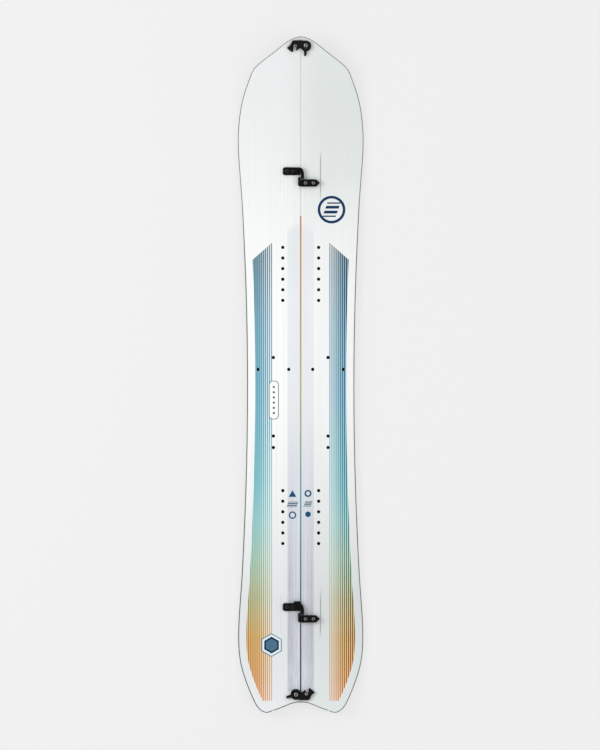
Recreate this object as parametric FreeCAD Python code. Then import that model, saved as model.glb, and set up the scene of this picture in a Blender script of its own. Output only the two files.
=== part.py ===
import FreeCAD, Part
import math
import os

# A splitboard: a snowboard that parts down its middle into two skis, joined by a hook clip
# at the nose and at the tail and by two interlocking lever clips between the feet and the ends.
# X runs across the board, Y towards the nose, Z up. The origin is under the middle of the board.

# ---- Board outline and camber (millimetres) ----
LENGTH = 1620.0
NOSE_WIDTH = 301.2
WAIST_WIDTH = 257.4
WAIST_Y = -24.0
SIDECUT_FULLNESS = 1.1      # 1 is a plain parabola from waist to widest point
TAIL_WIDTH = 300.2
NOTCH_DEPTH = 25.2          # the swallowtail's notch, forward of the tail's tips
SEAM_GAP = 0.6              # between the two halves
CAMBER = 4.0
ROCKER_R = 700.0            # upturn of nose and tail
NOSE_OVERHANG = 235.0       # from the nose contact to the tip
TAIL_OVERHANG = 165.0

# ---- Layers, from the base up ----
BASE_T = 1.4
LOWER_GLASS_T = 0.6
CORE_T = 5.2
UPPER_GLASS_T = 0.6
TOPSHEET_T = 0.5
PLATEAU_T = 1.0             # raised seats under the middle clips
TOP_INSET = 1.6             # the sidewall's bevel leaves the topsheet this much smaller
EDGE_W = 2.2
OUTER_WALL_W = 8.0
INNER_WALL_W = 5.0
NOSE_SPACER_L = 150.0       # the wood core stops this far from the tip
TAIL_SPACER_L = 120.0
EDGE_BREAK_X = 66.5         # the steel edge is broken on each tail tip
EDGE_BREAK_W = 4.2

# ---- Threaded inserts ----
THREAD_R = 2.5
BARREL_R = 4.0
FLANGE_R = 6.5
FLANGE_T = 1.2
INSERT_FLOOR = 0.8
INSERT_RECESS = 0.2
STANCE_X = 43.0
STANCE_PITCH = 25.4
STANCE_ROWS = 6
FRONT_STANCE_Y = 242.8
REAR_STANCE_Y = -340.7
TOURING_X = 65.5            # toe bracket: one hole ahead of a pair
TOURING_Y = 42.2
TOURING_PAIR_BACK = 28.5
TOURING_PAIR_X = 73.6
RISER_Y = -160.0            # climbing riser: two holes in line
RISER_PITCH = 27.5

# ---- Hook clips at nose and tail, each in its own frame with the pivot at 0, 0 ----
NOSE_PIVOT_X = 12.2
NOSE_PIVOT_BACK = 21.6      # from the tip
TAIL_PIVOT_X = -11.4
TAIL_PIVOT_AHEAD = 44.0     # from the tail's tips
POST_REACH = 24.8           # pivot to catch post
POST_R = 3.3
POST_H = 5.9
ARM_T = 4.0
ARM_LIFT = 1.3
ARM_BOSS_R = 13.0
ARM_BACK = 13.8             # far edge of the arm, beyond the pivot's line
ARM_LEAN = 6.2              # from the spiral wall to the arm's outer corner
TAB_L = 24.4
TAB_W = 5.2
NOSE_TAB_ANGLE = 266.0
TAIL_TAB_ANGLE = 18.0
PAD_R = 9.5
PAD_T = 0.9
BUSH_R = 4.0
BUSH_CLEARANCE = 0.05
WASHER_R = 5.4
WASHER_T = 0.6
HEAD_R = 4.3
HEAD_H = 2.1
HEX_R = 2.0
HEX_DEPTH = 1.4
SEAT_CLEARANCE = 0.1
HOOK_CLEARANCE = 0.35       # post to hook wall, all the way out
PART_TRAVEL = 16.0          # how far the halves part
CLIP_TURN = 90.0            # while each clip turns this far

# ---- Lever clips, each in its own frame with the origin on the seam ----
FRONT_CLIP_BACK = 335.0     # from the tip
REAR_CLIP_AHEAD = 239.5     # from the tail's tips
PLATE_X = -43.0
PLATE_W = 19.0
PLATE_MID_Y = 14.0
PLATE_T = 3.2
PLATE_SCREW_X = (-33.0, -18.6)
LEVER_PIVOT_X = -6.4
LEVER_T = 4.0
LEVER_LIFT = 0.2
LEVER_BOSS_R = 8.5
FINGER_REACH = 14.5         # pivot to the finger's outer side
FINGER_END_Y = -4.0
PIN_R = 2.5
PIN_HEAD_R = 4.0
PIN_HEAD_T = 1.2
HOOK_GAP = 0.6              # finger to hook, and hook to the left half's top
HOOK_W = 6.3
HOOK_TOP_Y = 0.7
PILL_Y = (-23.0, -5.4)
PILL_X = 46.5
PILL_SCREW_X = (11.6, 30.6)
FLAT_HEAD_R = 3.9
FLAT_HEAD_T = 1.9
PLATEAU_X = 46.8
PLATEAU_Y = 62.0            # half length of the raised seat

V = FreeCAD.Vector
THICKNESS = BASE_T + LOWER_GLASS_T + CORE_T + UPPER_GLASS_T + TOPSHEET_T
CORE_Z = BASE_T + LOWER_GLASS_T
SEAM_X = SEAM_GAP / 2
HALF = LENGTH / 2
NOSE_PIVOT = (NOSE_PIVOT_X, HALF - NOSE_PIVOT_BACK)
TAIL_PIVOT = (TAIL_PIVOT_X, TAIL_PIVOT_AHEAD - HALF)
FRONT_CLIP_Y = HALF - FRONT_CLIP_BACK
REAR_CLIP_Y = REAR_CLIP_AHEAD - HALF
NOSE_CONTACT = HALF - NOSE_OVERHANG
TAIL_CONTACT = TAIL_OVERHANG - HALF
CAMBER_Y = (NOSE_CONTACT + TAIL_CONTACT) / 2
CAMBER_SPAN = NOSE_CONTACT - CAMBER_Y
CAMBER_R = (CAMBER_SPAN ** 2 / CAMBER + CAMBER) / 2 - ROCKER_R
BEYOND = 30.0               # how far cutting shapes pass the board
DEG_PER_MM = CLIP_TURN / PART_TRAVEL


# ---- The board's curves ----
def rim_points():
    """Right-hand rim from the tip round to the notch, as (x, y)."""
    nose = [(0, 0), (0.143, 5.4), (0.33, 24.7), (0.558, 51.0), (0.697, 67.8), (0.765, 80.3),
            (0.81, 96.0), (0.856, 114.7), (0.918, 143.7), (0.98, 194.0), (1.0, 238.0)]
    tail = [(1.0, 176.0), (0.964, 118.0), (0.9, 83.5), (0.821, 52.0), (0.748, 27.5),
            (0.689, 13.0), (0.615, 3.6), (0.549, 0.45), (0.48, 2.9), (0.267, 0.58 * NOTCH_DEPTH),
            (0.121, 0.91 * NOTCH_DEPTH), (0, NOTCH_DEPTH)]
    waist = WAIST_WIDTH / 2
    points = [(share * NOSE_WIDTH / 2, HALF - back) for share, back in nose]
    tail_points = [(share * TAIL_WIDTH / 2, ahead - HALF) for share, ahead in tail]
    steps = [0.8, 0.6, 0.4, 0.2]
    for wide, wide_y, side in ((*points[-1], steps), (*tail_points[0], [0.0] + steps[::-1])):
        points += [(waist + SIDECUT_FULLNESS * step ** 2 * (wide - waist),
                    WAIST_Y + step * (wide_y - WAIST_Y)) for step in side]
    return points + tail_points


def spline(points):
    """A smooth rim curve that leaves and meets the seam squarely."""
    lengths = [0.0]
    for before, after in zip(points, points[1:]):
        lengths.append(lengths[-1] + (after - before).Length)
    curve = Part.BSplineCurve()
    curve.interpolate(Points=points, Parameters=lengths, Scale=False,
                      InitialTangent=V(1, 0, 0), FinalTangent=V(-1, 0, 0))
    return curve


def rim_prism(inset):
    """Everything inside the right-hand rim, moved in by inset, as a tall prism from the seam out."""
    points = [V(x, y, -BEYOND) for x, y in rim_points()]
    rim = spline(points)
    if inset:
        moved = []
        for point in points:
            along = rim.tangent(rim.parameter(point))[0]
            moved.append(point + V(along.y, -along.x, 0) * inset)
        moved[0].x = 0
        moved[-1].x = 0
        rim = spline(moved)
    seam = Part.makeLine(rim.EndPoint, rim.StartPoint)
    face = Part.Face(Part.Wire([rim.toShape(), seam]))
    return face.extrude(V(0, 0, 4 * BEYOND))


def arc_point(centre, radius, angle):
    return V(0, centre[0] + radius * math.cos(angle), centre[1] + radius * math.sin(angle))


CAMBER_CENTRE = (CAMBER_Y, CAMBER - CAMBER_R)
NOSE_CENTRE = (NOSE_CONTACT, ROCKER_R)
TAIL_CENTRE = (TAIL_CONTACT, ROCKER_R)
LEAN = math.atan2(ROCKER_R - CAMBER_CENTRE[1], CAMBER_SPAN)     # of the line through two arcs' centres
NOSE_JOIN_Y = CAMBER_Y + CAMBER_R * math.cos(LEAN)
TAIL_JOIN_Y = CAMBER_Y - CAMBER_R * math.cos(LEAN)


def profile(height):
    """Side view of the surface that lies height above the base: tail upturn, camber, nose upturn."""
    upturn = ROCKER_R - height
    camber = CAMBER_R + height
    nose_end = math.asin((HALF + BEYOND - NOSE_CONTACT) / upturn) - math.pi / 2
    tail_end = -math.pi / 2 - math.asin((HALF + BEYOND + TAIL_CONTACT) / upturn)
    stretches = [(TAIL_CENTRE, upturn, tail_end, -LEAN),
                 (CAMBER_CENTRE, camber, math.pi - LEAN, LEAN),
                 (NOSE_CENTRE, upturn, LEAN - math.pi, nose_end)]
    return [Part.Arc(*[arc_point(centre, radius, start + share * (end - start)) for share in (0, 0.5, 1)])
            for centre, radius, start, end in stretches]


def band(low, high):
    """The layer between two heights above the base, over the whole right half and past its sides."""
    lower = profile(low)
    upper = profile(high)
    edges = [arc.toShape() for arc in lower + upper]
    edges.append(Part.makeLine(lower[0].StartPoint, upper[0].StartPoint))
    edges.append(Part.makeLine(lower[-1].EndPoint, upper[-1].EndPoint))
    face = Part.Face(Part.Wire(Part.__sortEdges__(edges)))
    layer = face.extrude(V(NOSE_WIDTH + BEYOND, 0, 0))
    layer.translate(V(-BEYOND, 0, 0))
    return layer


def surface(y, height):
    """Z and tilt about X of the surface at height above the base, at y."""
    if y > NOSE_JOIN_Y or y < TAIL_JOIN_Y:
        radius = ROCKER_R - height
        away = y - (NOSE_CONTACT if y > NOSE_JOIN_Y else TAIL_CONTACT)
        return ROCKER_R - math.sqrt(radius ** 2 - away ** 2), math.asin(away / radius)
    radius = CAMBER_R + height
    away = y - CAMBER_Y
    return CAMBER_CENTRE[1] + math.sqrt(radius ** 2 - away ** 2), -math.asin(away / radius)


def seat(x, y, height, turn=0.0):
    """Placement of a piece that sits on the surface at x, y, and is turned about the surface's normal."""
    z, tilt = surface(y, height)
    lean = FreeCAD.Rotation(V(1, 0, 0), math.degrees(tilt))
    return FreeCAD.Placement(V(x, y, z), lean.multiply(FreeCAD.Rotation(V(0, 0, 1), turn)))


def placed(shape, placement):
    moved = shape.copy()
    moved.Placement = placement.multiply(moved.Placement)
    return moved


def mirrored(shape):
    return shape.mirror(V(0, 0, 0), V(1, 0, 0))


def block(x0, x1, y0, y1):
    """A tall box for cutting the board at straight lines."""
    return Part.makeBox(x1 - x0, y1 - y0, 4 * BEYOND, V(x0, y0, -BEYOND))


def disc(x, y, radius, low, high):
    return Part.makeCylinder(radius, high - low, V(x, y, low))


def plate(corners, low, high):
    """A flat plate from its corners, each (x, y, corner radius)."""
    edges = []
    ends = []
    count = len(corners)
    for index in range(count):
        x, y, radius = corners[index]
        corner = V(x, y, low)
        before = V(*corners[index - 1][:2], low) - corner
        after = V(*corners[(index + 1) % count][:2], low) - corner
        before.normalize()
        after.normalize()
        half = before.getAngle(after) / 2
        middle = (before + after).normalize()
        start = corner + before * (radius / math.tan(half))
        end = corner + after * (radius / math.tan(half))
        crown = corner + middle * (radius / math.sin(half) - radius)
        if radius:
            edges.append(Part.Arc(start, crown, end).toShape())
        ends.append((start, end))
    for index in range(count):
        if (ends[index - 1][1] - ends[index][0]).Length > 1e-6:
            edges.append(Part.makeLine(ends[index - 1][1], ends[index][0]))
    return Part.Face(Part.Wire(Part.__sortEdges__(edges))).extrude(V(0, 0, high - low))


# ---- Inserts ----
def insert(hollow=True):
    """A flanged insert in its own frame, with the surface of the board at z = 0."""
    foot = CORE_Z - THICKNESS + SEAT_CLEARANCE
    if not hollow:
        below = foot - CORE_Z / 2
        room = disc(0, 0, BARREL_R, below, BEYOND).fuse(disc(0, 0, FLANGE_R, below, foot + FLANGE_T))
        return room.removeSplitter()
    body = disc(0, 0, BARREL_R, foot, -INSERT_RECESS).fuse(disc(0, 0, FLANGE_R, foot, foot + FLANGE_T))
    return body.cut(disc(0, 0, THREAD_R, foot + INSERT_FLOOR, 0)).removeSplitter()


def upright(x, y):
    """Placement of an insert that stands straight up, as the binding screws need."""
    return FreeCAD.Placement(V(x, y, surface(y, THICKNESS)[0]), FreeCAD.Rotation())


STANCE = [upright(STANCE_X, middle + (row - (STANCE_ROWS - 1) / 2) * STANCE_PITCH)
          for middle in (FRONT_STANCE_Y, REAR_STANCE_Y) for row in range(STANCE_ROWS)]
TOURING = [upright(TOURING_X, TOURING_Y)]
TOURING += [upright(TOURING_X + side * TOURING_PAIR_X / 2, TOURING_Y - TOURING_PAIR_BACK) for side in (-1, 1)]
RISER = [upright(TOURING_X, RISER_Y + side * RISER_PITCH / 2) for side in (-1, 1)]
POST_X = NOSE_PIVOT[0] - POST_REACH
TAIL_POST_X = TAIL_PIVOT[0] + POST_REACH
LEFT_CLIP_SEATS = [seat(POST_X, NOSE_PIVOT[1], THICKNESS), seat(*TAIL_PIVOT, THICKNESS)]
RIGHT_CLIP_SEATS = [seat(*NOSE_PIVOT, THICKNESS), seat(TAIL_POST_X, TAIL_PIVOT[1], THICKNESS)]
PILL_MID_Y = sum(PILL_Y) / 2
for clip_y in (FRONT_CLIP_Y, REAR_CLIP_Y):
    LEFT_CLIP_SEATS += [seat(x, clip_y + PLATE_MID_Y, THICKNESS) for x in PLATE_SCREW_X]
    RIGHT_CLIP_SEATS += [seat(x, clip_y + PILL_MID_Y, THICKNESS) for x in PILL_SCREW_X]

parts = {}


def inserts(name, seats):
    parts[name] = Part.makeCompound([placed(insert(), at) for at in seats])


def opened(shape, seats):
    """A layer with the inserts' room cut out of it."""
    return shape.cut(Part.makeCompound([placed(insert(hollow=False), at) for at in seats]))


# ---- The right half's layers; the left half is their mirror image ----
def half_layers():
    """Every layer of the right half, before the clips' inserts are let in."""
    whole = rim_prism(0)
    inside_edge = rim_prism(EDGE_W)
    inside_wall = rim_prism(OUTER_WALL_W)
    far = NOSE_WIDTH
    end = HALF + BEYOND
    outside_seam = block(SEAM_X, far, -end, end)
    off_edge = block(SEAM_X + EDGE_W, far, -end, end)
    off_wall = block(SEAM_X + INNER_WALL_W, far, -end, end)
    seam_edge = block(SEAM_X, SEAM_X + EDGE_W, -end, end)
    seam_wall = block(SEAM_X, SEAM_X + INNER_WALL_W, -end, end)
    core_ends = (TAIL_SPACER_L - HALF, HALF - NOSE_SPACER_L)

    full = whole.common(outside_seam)
    top = rim_prism(TOP_INSET).common(outside_seam)
    base_band = band(0, BASE_T)
    core_band = band(CORE_Z, CORE_Z + CORE_T)
    upper_z = CORE_Z + CORE_T
    top_z = upper_z + UPPER_GLASS_T

    rim = base_band.common(whole.cut(inside_edge)).common(off_edge)
    crack = block(EDGE_BREAK_X - EDGE_BREAK_W / 2, EDGE_BREAK_X + EDGE_BREAK_W / 2, -end, NOTCH_DEPTH - HALF)
    pieces = sorted(rim.cut(crack).Solids, key=lambda solid: solid.Volume)
    layers = {"base_sheet": base_band.common(inside_edge).common(off_edge),
              "tail_edge": pieces[0], "outer_edge": pieces[-1],
              "inner_edge": base_band.common(whole).common(seam_edge),
              "lower_glass": band(BASE_T, CORE_Z).common(full),
              "outer_sidewall": core_band.common(whole.cut(inside_wall)).common(off_wall),
              "inner_sidewall": core_band.common(whole).common(seam_wall)}
    filling = core_band.common(inside_wall).common(off_wall)
    layers["core"] = opened(filling.common(block(0, far, *core_ends)), STANCE + TOURING + RISER)
    layers["nose_spacer"] = filling.common(block(0, far, core_ends[1], end))
    layers["tail_spacer"] = filling.common(block(0, far, -end, core_ends[0]))
    layers["upper_glass"] = opened(band(upper_z, top_z).common(top), STANCE + TOURING + RISER)
    topsheet = band(top_z, THICKNESS).common(top)
    plateau_band = band(THICKNESS - TOPSHEET_T / 2, THICKNESS + PLATEAU_T)
    for middle in (FRONT_CLIP_Y, REAR_CLIP_Y):
        raised = plate([(SEAM_X, middle - PLATEAU_Y, 0), (PLATEAU_X, middle - PLATEAU_Y, 9),
                        (PLATEAU_X, middle + PLATEAU_Y, 9), (SEAM_X, middle + PLATEAU_Y, 0)],
                       0, 2 * BEYOND)
        topsheet = topsheet.fuse(plateau_band.common(raised))
    layers["topsheet"] = opened(topsheet.removeSplitter(), STANCE + TOURING + RISER)
    return layers


def board_half(side, seats, flip):
    """One half with its inserts, under names that start with its side."""
    for name, shape in LAYERS.items():
        shape = flip(shape)
        if name in ("core", "nose_spacer", "tail_spacer", "inner_sidewall", "upper_glass", "topsheet"):
            shape = opened(shape, seats)
        parts[side + "_" + name] = shape
    for name, places in (("stance", STANCE), ("touring", TOURING), ("riser", RISER)):
        inserts(side + "_" + name + "_inserts", places)
        parts[side + "_" + name + "_inserts"] = flip(parts[side + "_" + name + "_inserts"])
    inserts(side + "_clip_inserts", seats)


# ---- Fasteners ----
def cap_screw(under_head, head_r, depth):
    """A round-headed screw with a hexagon socket; its head stands on under_head."""
    head = disc(0, 0, head_r, under_head, under_head + HEAD_H)
    head = head.fuse(disc(0, 0, THREAD_R - BUSH_CLEARANCE, depth, under_head))
    corners = [(HEX_R * math.cos(side * math.pi / 3), HEX_R * math.sin(side * math.pi / 3), 0)
               for side in range(6)]
    top = under_head + HEAD_H
    return head.removeSplitter().cut(plate(corners, top - HEX_DEPTH, top + 1))


def flat_screw(flush_at, depth):
    """A countersunk screw whose head is flush with flush_at."""
    shank_r = THREAD_R - BUSH_CLEARANCE
    cone = Part.makeCone(shank_r, FLAT_HEAD_R, FLAT_HEAD_T, V(0, 0, flush_at - FLAT_HEAD_T))
    screw = cone.fuse(disc(0, 0, shank_r, depth, flush_at - FLAT_HEAD_T))
    corners = [(HEX_R * math.cos(side * math.pi / 3), HEX_R * math.sin(side * math.pi / 3), 0)
               for side in range(6)]
    return screw.cut(plate(corners, flush_at - HEX_DEPTH, flush_at + 1))


def countersink(x, y, flush_at):
    """Room for a flat_screw in a plate."""
    cone = Part.makeCone(THREAD_R, FLAT_HEAD_R + BUSH_CLEARANCE, FLAT_HEAD_T, V(x, y, flush_at - FLAT_HEAD_T))
    return cone.fuse(disc(x, y, THREAD_R, -1, flush_at))


SCREW_DEPTH = CORE_Z + INSERT_FLOOR - THICKNESS + INSERT_RECESS


# ---- Hook clip: pivots on one half, hooks round a post on the other ----
def spiral(degrees, beside):
    """Where the post's side, beside from its middle, passes the clip when it has turned by degrees."""
    angle = math.radians(180 + degrees)
    radius = POST_REACH + degrees / DEG_PER_MM + beside
    return radius * math.cos(angle), radius * math.sin(angle)


def post_path(last):
    """Room for the post from the closed clip until it has turned by last."""
    room = POST_R + HOOK_CLEARANCE
    turns = [step * last / 8 for step in range(9)]
    outer = [V(*spiral(turn, room), 0) for turn in turns]
    inner = [V(*spiral(turn, -room), 0) for turn in reversed(turns)]
    sides = []
    for points in (outer, inner):
        curve = Part.BSplineCurve()
        curve.interpolate(points)
        sides.append(curve.toShape())
    ends = [Part.makeLine(outer[-1], inner[0]), Part.makeLine(inner[-1], outer[0])]
    face = Part.Face(Part.Wire([sides[0], ends[0], sides[1], ends[1]]))
    return face.extrude(V(0, 0, 4 * ARM_T)).fuse(disc(-POST_REACH, 0, room, 0, 4 * ARM_T))


def clip_arm(tab_angle):
    """The turning hook: a boss, a beam past the post, a flared end and a finger tab."""
    low = ARM_LIFT
    high = ARM_LIFT + ARM_T
    lip_x, lip_y = spiral(24, POST_R + HOOK_CLEARANCE)
    wall_x = POST_REACH + POST_R + HOOK_CLEARANCE
    beam = plate([(0, ARM_BACK, 8), (-wall_x - ARM_LEAN / 2, ARM_BACK, 5), (-wall_x - ARM_LEAN * 1.5, 1.5, 3),
                  (-wall_x - 17, -4.8, 1.6), (lip_x - 4, lip_y - 1.5, 1.6), (lip_x + 6, lip_y + 1, 1),
                  (1 - wall_x / 2, -4.2, 4), (-5, -12, 1)], low, high)
    tab_x = TAB_L * math.cos(math.radians(tab_angle))
    tab_y = TAB_L * math.sin(math.radians(tab_angle))
    across = V(-tab_y, tab_x, 0).normalize() * (TAB_W / 2)
    tab = plate([(across.x * 1.6, across.y * 1.6, 0), (-across.x * 1.6, -across.y * 1.6, 0),
                 (tab_x - across.x, tab_y - across.y, TAB_W * 0.35),
                 (tab_x + across.x, tab_y + across.y, TAB_W * 0.35)], low, high)
    arm = disc(0, 0, ARM_BOSS_R, low, high).fuse(beam).fuse(tab).removeSplitter()
    arm = arm.cut(post_path(45))
    arm = arm.cut(disc(0, 0, BUSH_R + BUSH_CLEARANCE, 0, high + 1))
    return max(arm.Solids, key=lambda solid: solid.Volume)


def hook_clip(name, pivot, turn, tab_angle):
    """One hook clip; turn is 0 where the arm reaches to the left and 180 to the right."""
    at = seat(*pivot, THICKNESS, turn)
    reach = POST_REACH if turn else -POST_REACH
    catch_at = seat(pivot[0] + reach, pivot[1], THICKNESS)
    bush_top = ARM_LIFT + ARM_T + 0.2
    pad_top = SEAT_CLEARANCE + PAD_T
    hole = THREAD_R + BUSH_CLEARANCE
    bore = disc(0, 0, hole, -1, POST_H + 1)
    pieces = {"_arm": clip_arm(tab_angle),
              "_pad": disc(0, 0, PAD_R, SEAT_CLEARANCE, pad_top).cut(bore),
              "_bush": disc(0, 0, BUSH_R, pad_top, bush_top).cut(bore),
              "_spring_washer": disc(0, 0, WASHER_R, bush_top, bush_top + WASHER_T).cut(bore),
              "_screw": cap_screw(bush_top + WASHER_T, HEAD_R, SCREW_DEPTH)}
    for ending, shape in pieces.items():
        parts[name + ending] = placed(shape, at)
    post = disc(0, 0, PAD_R * 0.75, SEAT_CLEARANCE, pad_top).fuse(disc(0, 0, POST_R, pad_top, POST_H))
    parts[name + "_post"] = placed(post.removeSplitter().cut(bore), catch_at)
    parts[name + "_post_screw"] = placed(cap_screw(POST_H, POST_R, SCREW_DEPTH), catch_at)


# ---- Lever clip: a swinging finger on the left half bears on a fixed hook on the right half ----
def lever(thumb):
    """The swinging finger, with a thumb rest on the rear one."""
    low = PLATE_T + LEVER_LIFT
    high = low + LEVER_T
    outer = LEVER_PIVOT_X + FINGER_REACH
    inner = HOOK_GAP / 2
    mid = PLATE_MID_Y
    body = disc(LEVER_PIVOT_X, mid, LEVER_BOSS_R, low, high)
    finger = plate([(LEVER_PIVOT_X, mid + LEVER_BOSS_R, 0), (outer - 4, mid + LEVER_BOSS_R, 9.5),
                    (outer, mid - 4, 3), (outer, FINGER_END_Y, 2.5), (inner, FINGER_END_Y, 1.2),
                    (inner, mid - LEVER_BOSS_R + 1.2, 1.5), (LEVER_PIVOT_X, mid - LEVER_BOSS_R + 1.2, 0)], low, high)
    body = body.fuse(finger)
    if thumb:
        rest = mid + LEVER_BOSS_R
        body = body.fuse(plate([(LEVER_PIVOT_X - 9, mid + 1, 0), (LEVER_PIVOT_X - 11, rest + 5.5, 3),
                                (LEVER_PIVOT_X + 4, rest + 6.0, 3), (LEVER_PIVOT_X + 9, mid + 5, 1)], low, high))
    return body.removeSplitter().cut(disc(LEVER_PIVOT_X, mid, PIN_R + BUSH_CLEARANCE, 0, high + 1))


def lever_clip(name, clip_y, thumb):
    """One lever clip: plate, pin, lever and screws on the left half, hook and screws on the right."""
    at = seat(0, clip_y, THICKNESS + PLATEAU_T)
    low = SEAT_CLEARANCE
    half = PLATE_W / 2
    mid = PLATE_MID_Y
    level = PLATE_T + LEVER_LIFT + LEVER_T
    plate_end = -HOOK_GAP / 2 - 1
    base = plate([(PLATE_X, mid - half + 3, 2.5), (PLATE_X + 4, mid - half, 2), (plate_end, mid - half, 2),
                  (plate_end, mid + half, 2), (PLATE_X + 4, mid + half, 2), (PLATE_X, mid + half - 3, 2.5)],
                 low, PLATE_T)
    pin = disc(LEVER_PIVOT_X, mid, PIN_R, low, level + 0.2)
    pin = pin.fuse(disc(LEVER_PIVOT_X, mid, PIN_HEAD_R, level + 0.2, level + 0.2 + PIN_HEAD_T))
    base = base.cut(disc(LEVER_PIVOT_X, mid, PIN_R, 0, level))
    depth = SCREW_DEPTH - PLATEAU_T
    for x in PLATE_SCREW_X:
        base = base.cut(countersink(x, mid, PLATE_T))
    parts[name + "_plate"] = placed(base, at)
    parts[name + "_pin"] = placed(pin.removeSplitter(), at)
    parts[name + "_lever"] = placed(lever(thumb), at)
    screws = [placed(flat_screw(PLATE_T, depth), FreeCAD.Placement(V(x, mid, 0), FreeCAD.Rotation()))
              for x in PLATE_SCREW_X]
    parts[name + "_plate_screws"] = placed(Part.makeCompound(screws), at)

    foot, top = PILL_Y
    shoulder = 6.0
    left = -HOOK_GAP / 2 - HOOK_W
    hook = plate([(left, foot, 6), (PILL_X - shoulder - 4, foot, 5), (PILL_X, PILL_MID_Y, 1.5),
                  (PILL_X - shoulder - 4, top, 5), (FINGER_REACH + LEVER_PIVOT_X - 4, top, 2),
                  (-HOOK_GAP / 2, top - 4, 1.2), (-HOOK_GAP / 2, HOOK_TOP_Y, 1.5), (left, HOOK_TOP_Y - 2, 3)],
                 HOOK_GAP / 2, level)
    for x in PILL_SCREW_X:
        hook = hook.cut(disc(x, PILL_MID_Y, THREAD_R + BUSH_CLEARANCE, 0, level + 1))
        hook = hook.cut(disc(x, PILL_MID_Y, HEAD_R + BUSH_CLEARANCE, level - HEAD_H, level + 1))
    parts[name + "_hook"] = placed(hook, at)
    screws = [placed(cap_screw(level - HEAD_H, HEAD_R, depth),
                     FreeCAD.Placement(V(x, PILL_MID_Y, 0), FreeCAD.Rotation())) for x in PILL_SCREW_X]
    parts[name + "_hook_screws"] = placed(Part.makeCompound(screws), at)


os.makedirs("parts", exist_ok=True)
LAYERS = half_layers()
board_half("right", RIGHT_CLIP_SEATS, lambda shape: shape)
board_half("left", LEFT_CLIP_SEATS, mirrored)
hook_clip("nose_clip", NOSE_PIVOT, 0, NOSE_TAB_ANGLE)
hook_clip("tail_clip", TAIL_PIVOT, 180, TAIL_TAB_ANGLE)
lever_clip("front_clip", FRONT_CLIP_Y, thumb=False)
lever_clip("rear_clip", REAR_CLIP_Y, thumb=True)

for node, shape in parts.items():
    shape.exportStep("parts/" + node + ".step")
    print(node, len(shape.Solids), round(shape.Volume, 1), shape.isValid())
box = Part.makeCompound(list(parts.values())).BoundBox
print("box", [round(value, 2) for value in (box.XMin, box.XMax, box.YMin, box.YMax, box.ZMin, box.ZMax)])
for label, (x, y) in (("nose", NOSE_PIVOT), ("tail", TAIL_PIVOT)):
    z, tilt = surface(y, THICKNESS)
    print(label, "pivot", x, y, round(z, 4), "axis", 0, round(-math.sin(tilt), 6), round(math.cos(tilt), 6))
for label, clip_y in (("front", FRONT_CLIP_Y), ("rear", REAR_CLIP_Y)):
    spot = seat(0, clip_y, THICKNESS + PLATEAU_T).multVec(V(LEVER_PIVOT_X, PLATE_MID_Y, 0))
    tilt = surface(clip_y, THICKNESS)[1]
    print(label, "lever", spot, "axis", 0, round(-math.sin(tilt), 6), round(math.cos(tilt), 6))
for label, places in (("stance", STANCE), ("touring", TOURING), ("riser", RISER)):
    print(label, [tuple(round(value, 3) for value in at.Base) for at in places])
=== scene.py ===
"""Looks of a splitboard: two skis joined by hook clips at the ends and lever clips in between.

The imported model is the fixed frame. Printed topsheets, bevelled sidewalls, threaded inserts and
machined clip pieces are built on it here, and every other layer gets its own finish.
"""

import logging
import math
from abc import ABC, abstractmethod
from collections.abc import Sequence
from dataclasses import dataclass
from enum import Enum

import bmesh
import bpy
import numpy as np
from mathutils import Matrix, Vector


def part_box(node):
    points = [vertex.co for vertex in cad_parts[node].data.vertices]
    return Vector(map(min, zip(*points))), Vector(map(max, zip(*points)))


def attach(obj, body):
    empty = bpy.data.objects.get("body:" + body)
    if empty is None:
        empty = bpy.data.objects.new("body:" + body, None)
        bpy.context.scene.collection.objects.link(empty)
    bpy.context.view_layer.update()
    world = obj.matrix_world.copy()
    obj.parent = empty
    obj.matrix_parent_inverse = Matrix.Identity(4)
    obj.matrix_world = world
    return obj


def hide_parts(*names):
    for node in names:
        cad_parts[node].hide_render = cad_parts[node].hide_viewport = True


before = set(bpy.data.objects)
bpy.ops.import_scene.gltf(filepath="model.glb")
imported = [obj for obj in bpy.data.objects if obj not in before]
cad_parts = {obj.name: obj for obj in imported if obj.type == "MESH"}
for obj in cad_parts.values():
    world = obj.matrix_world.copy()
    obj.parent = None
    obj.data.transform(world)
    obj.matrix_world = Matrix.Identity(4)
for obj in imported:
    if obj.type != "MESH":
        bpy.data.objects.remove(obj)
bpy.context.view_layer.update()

log = logging.getLogger("splitboard")

Colour = tuple[int, int, int]
Linear = tuple[float, float, float, float]
Triple = tuple[float, float, float]
Span = tuple[float, float]
Stops = Sequence[tuple[float, Colour]]

MM = 0.001
BASE_THICKNESS = 1.4 * MM
TOP_HEIGHT = 8.3 * MM
TOPSHEET_THICKNESS = 0.5 * MM
SIDEWALL_LOW = 2.0 * MM
SIDEWALL_HIGH = 7.2 * MM
# Stretches along Y, in metres, where the tail, camber and nose arcs are clear of each other.
ARC_STRETCHES = ((-1.0, -0.68), (-0.58, 0.52), (0.62, 1.0))
# Spacing of the rim's points, in metres: on the sides, and past SIDES_END where it turns.
SIDE_STEP, END_STEP, SIDES_END = 0.006, 0.0025, 0.56
# Each kind of insert, and whether it stands along Z instead of square to the surface.
INSERT_STANDS = {"stance": True, "touring": True, "riser": True, "clip": False}
SHANK_LENGTH = 5.0
PLANED = (900.0, 60.0, 900.0)


class Side(Enum):
    """The board's two halves, and the way each lies from the seam."""

    LEFT = -1
    RIGHT = 1

    @property
    def word(self) -> str:
        """The half's name, as the CAD nodes start."""
        return self.name.lower()


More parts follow.
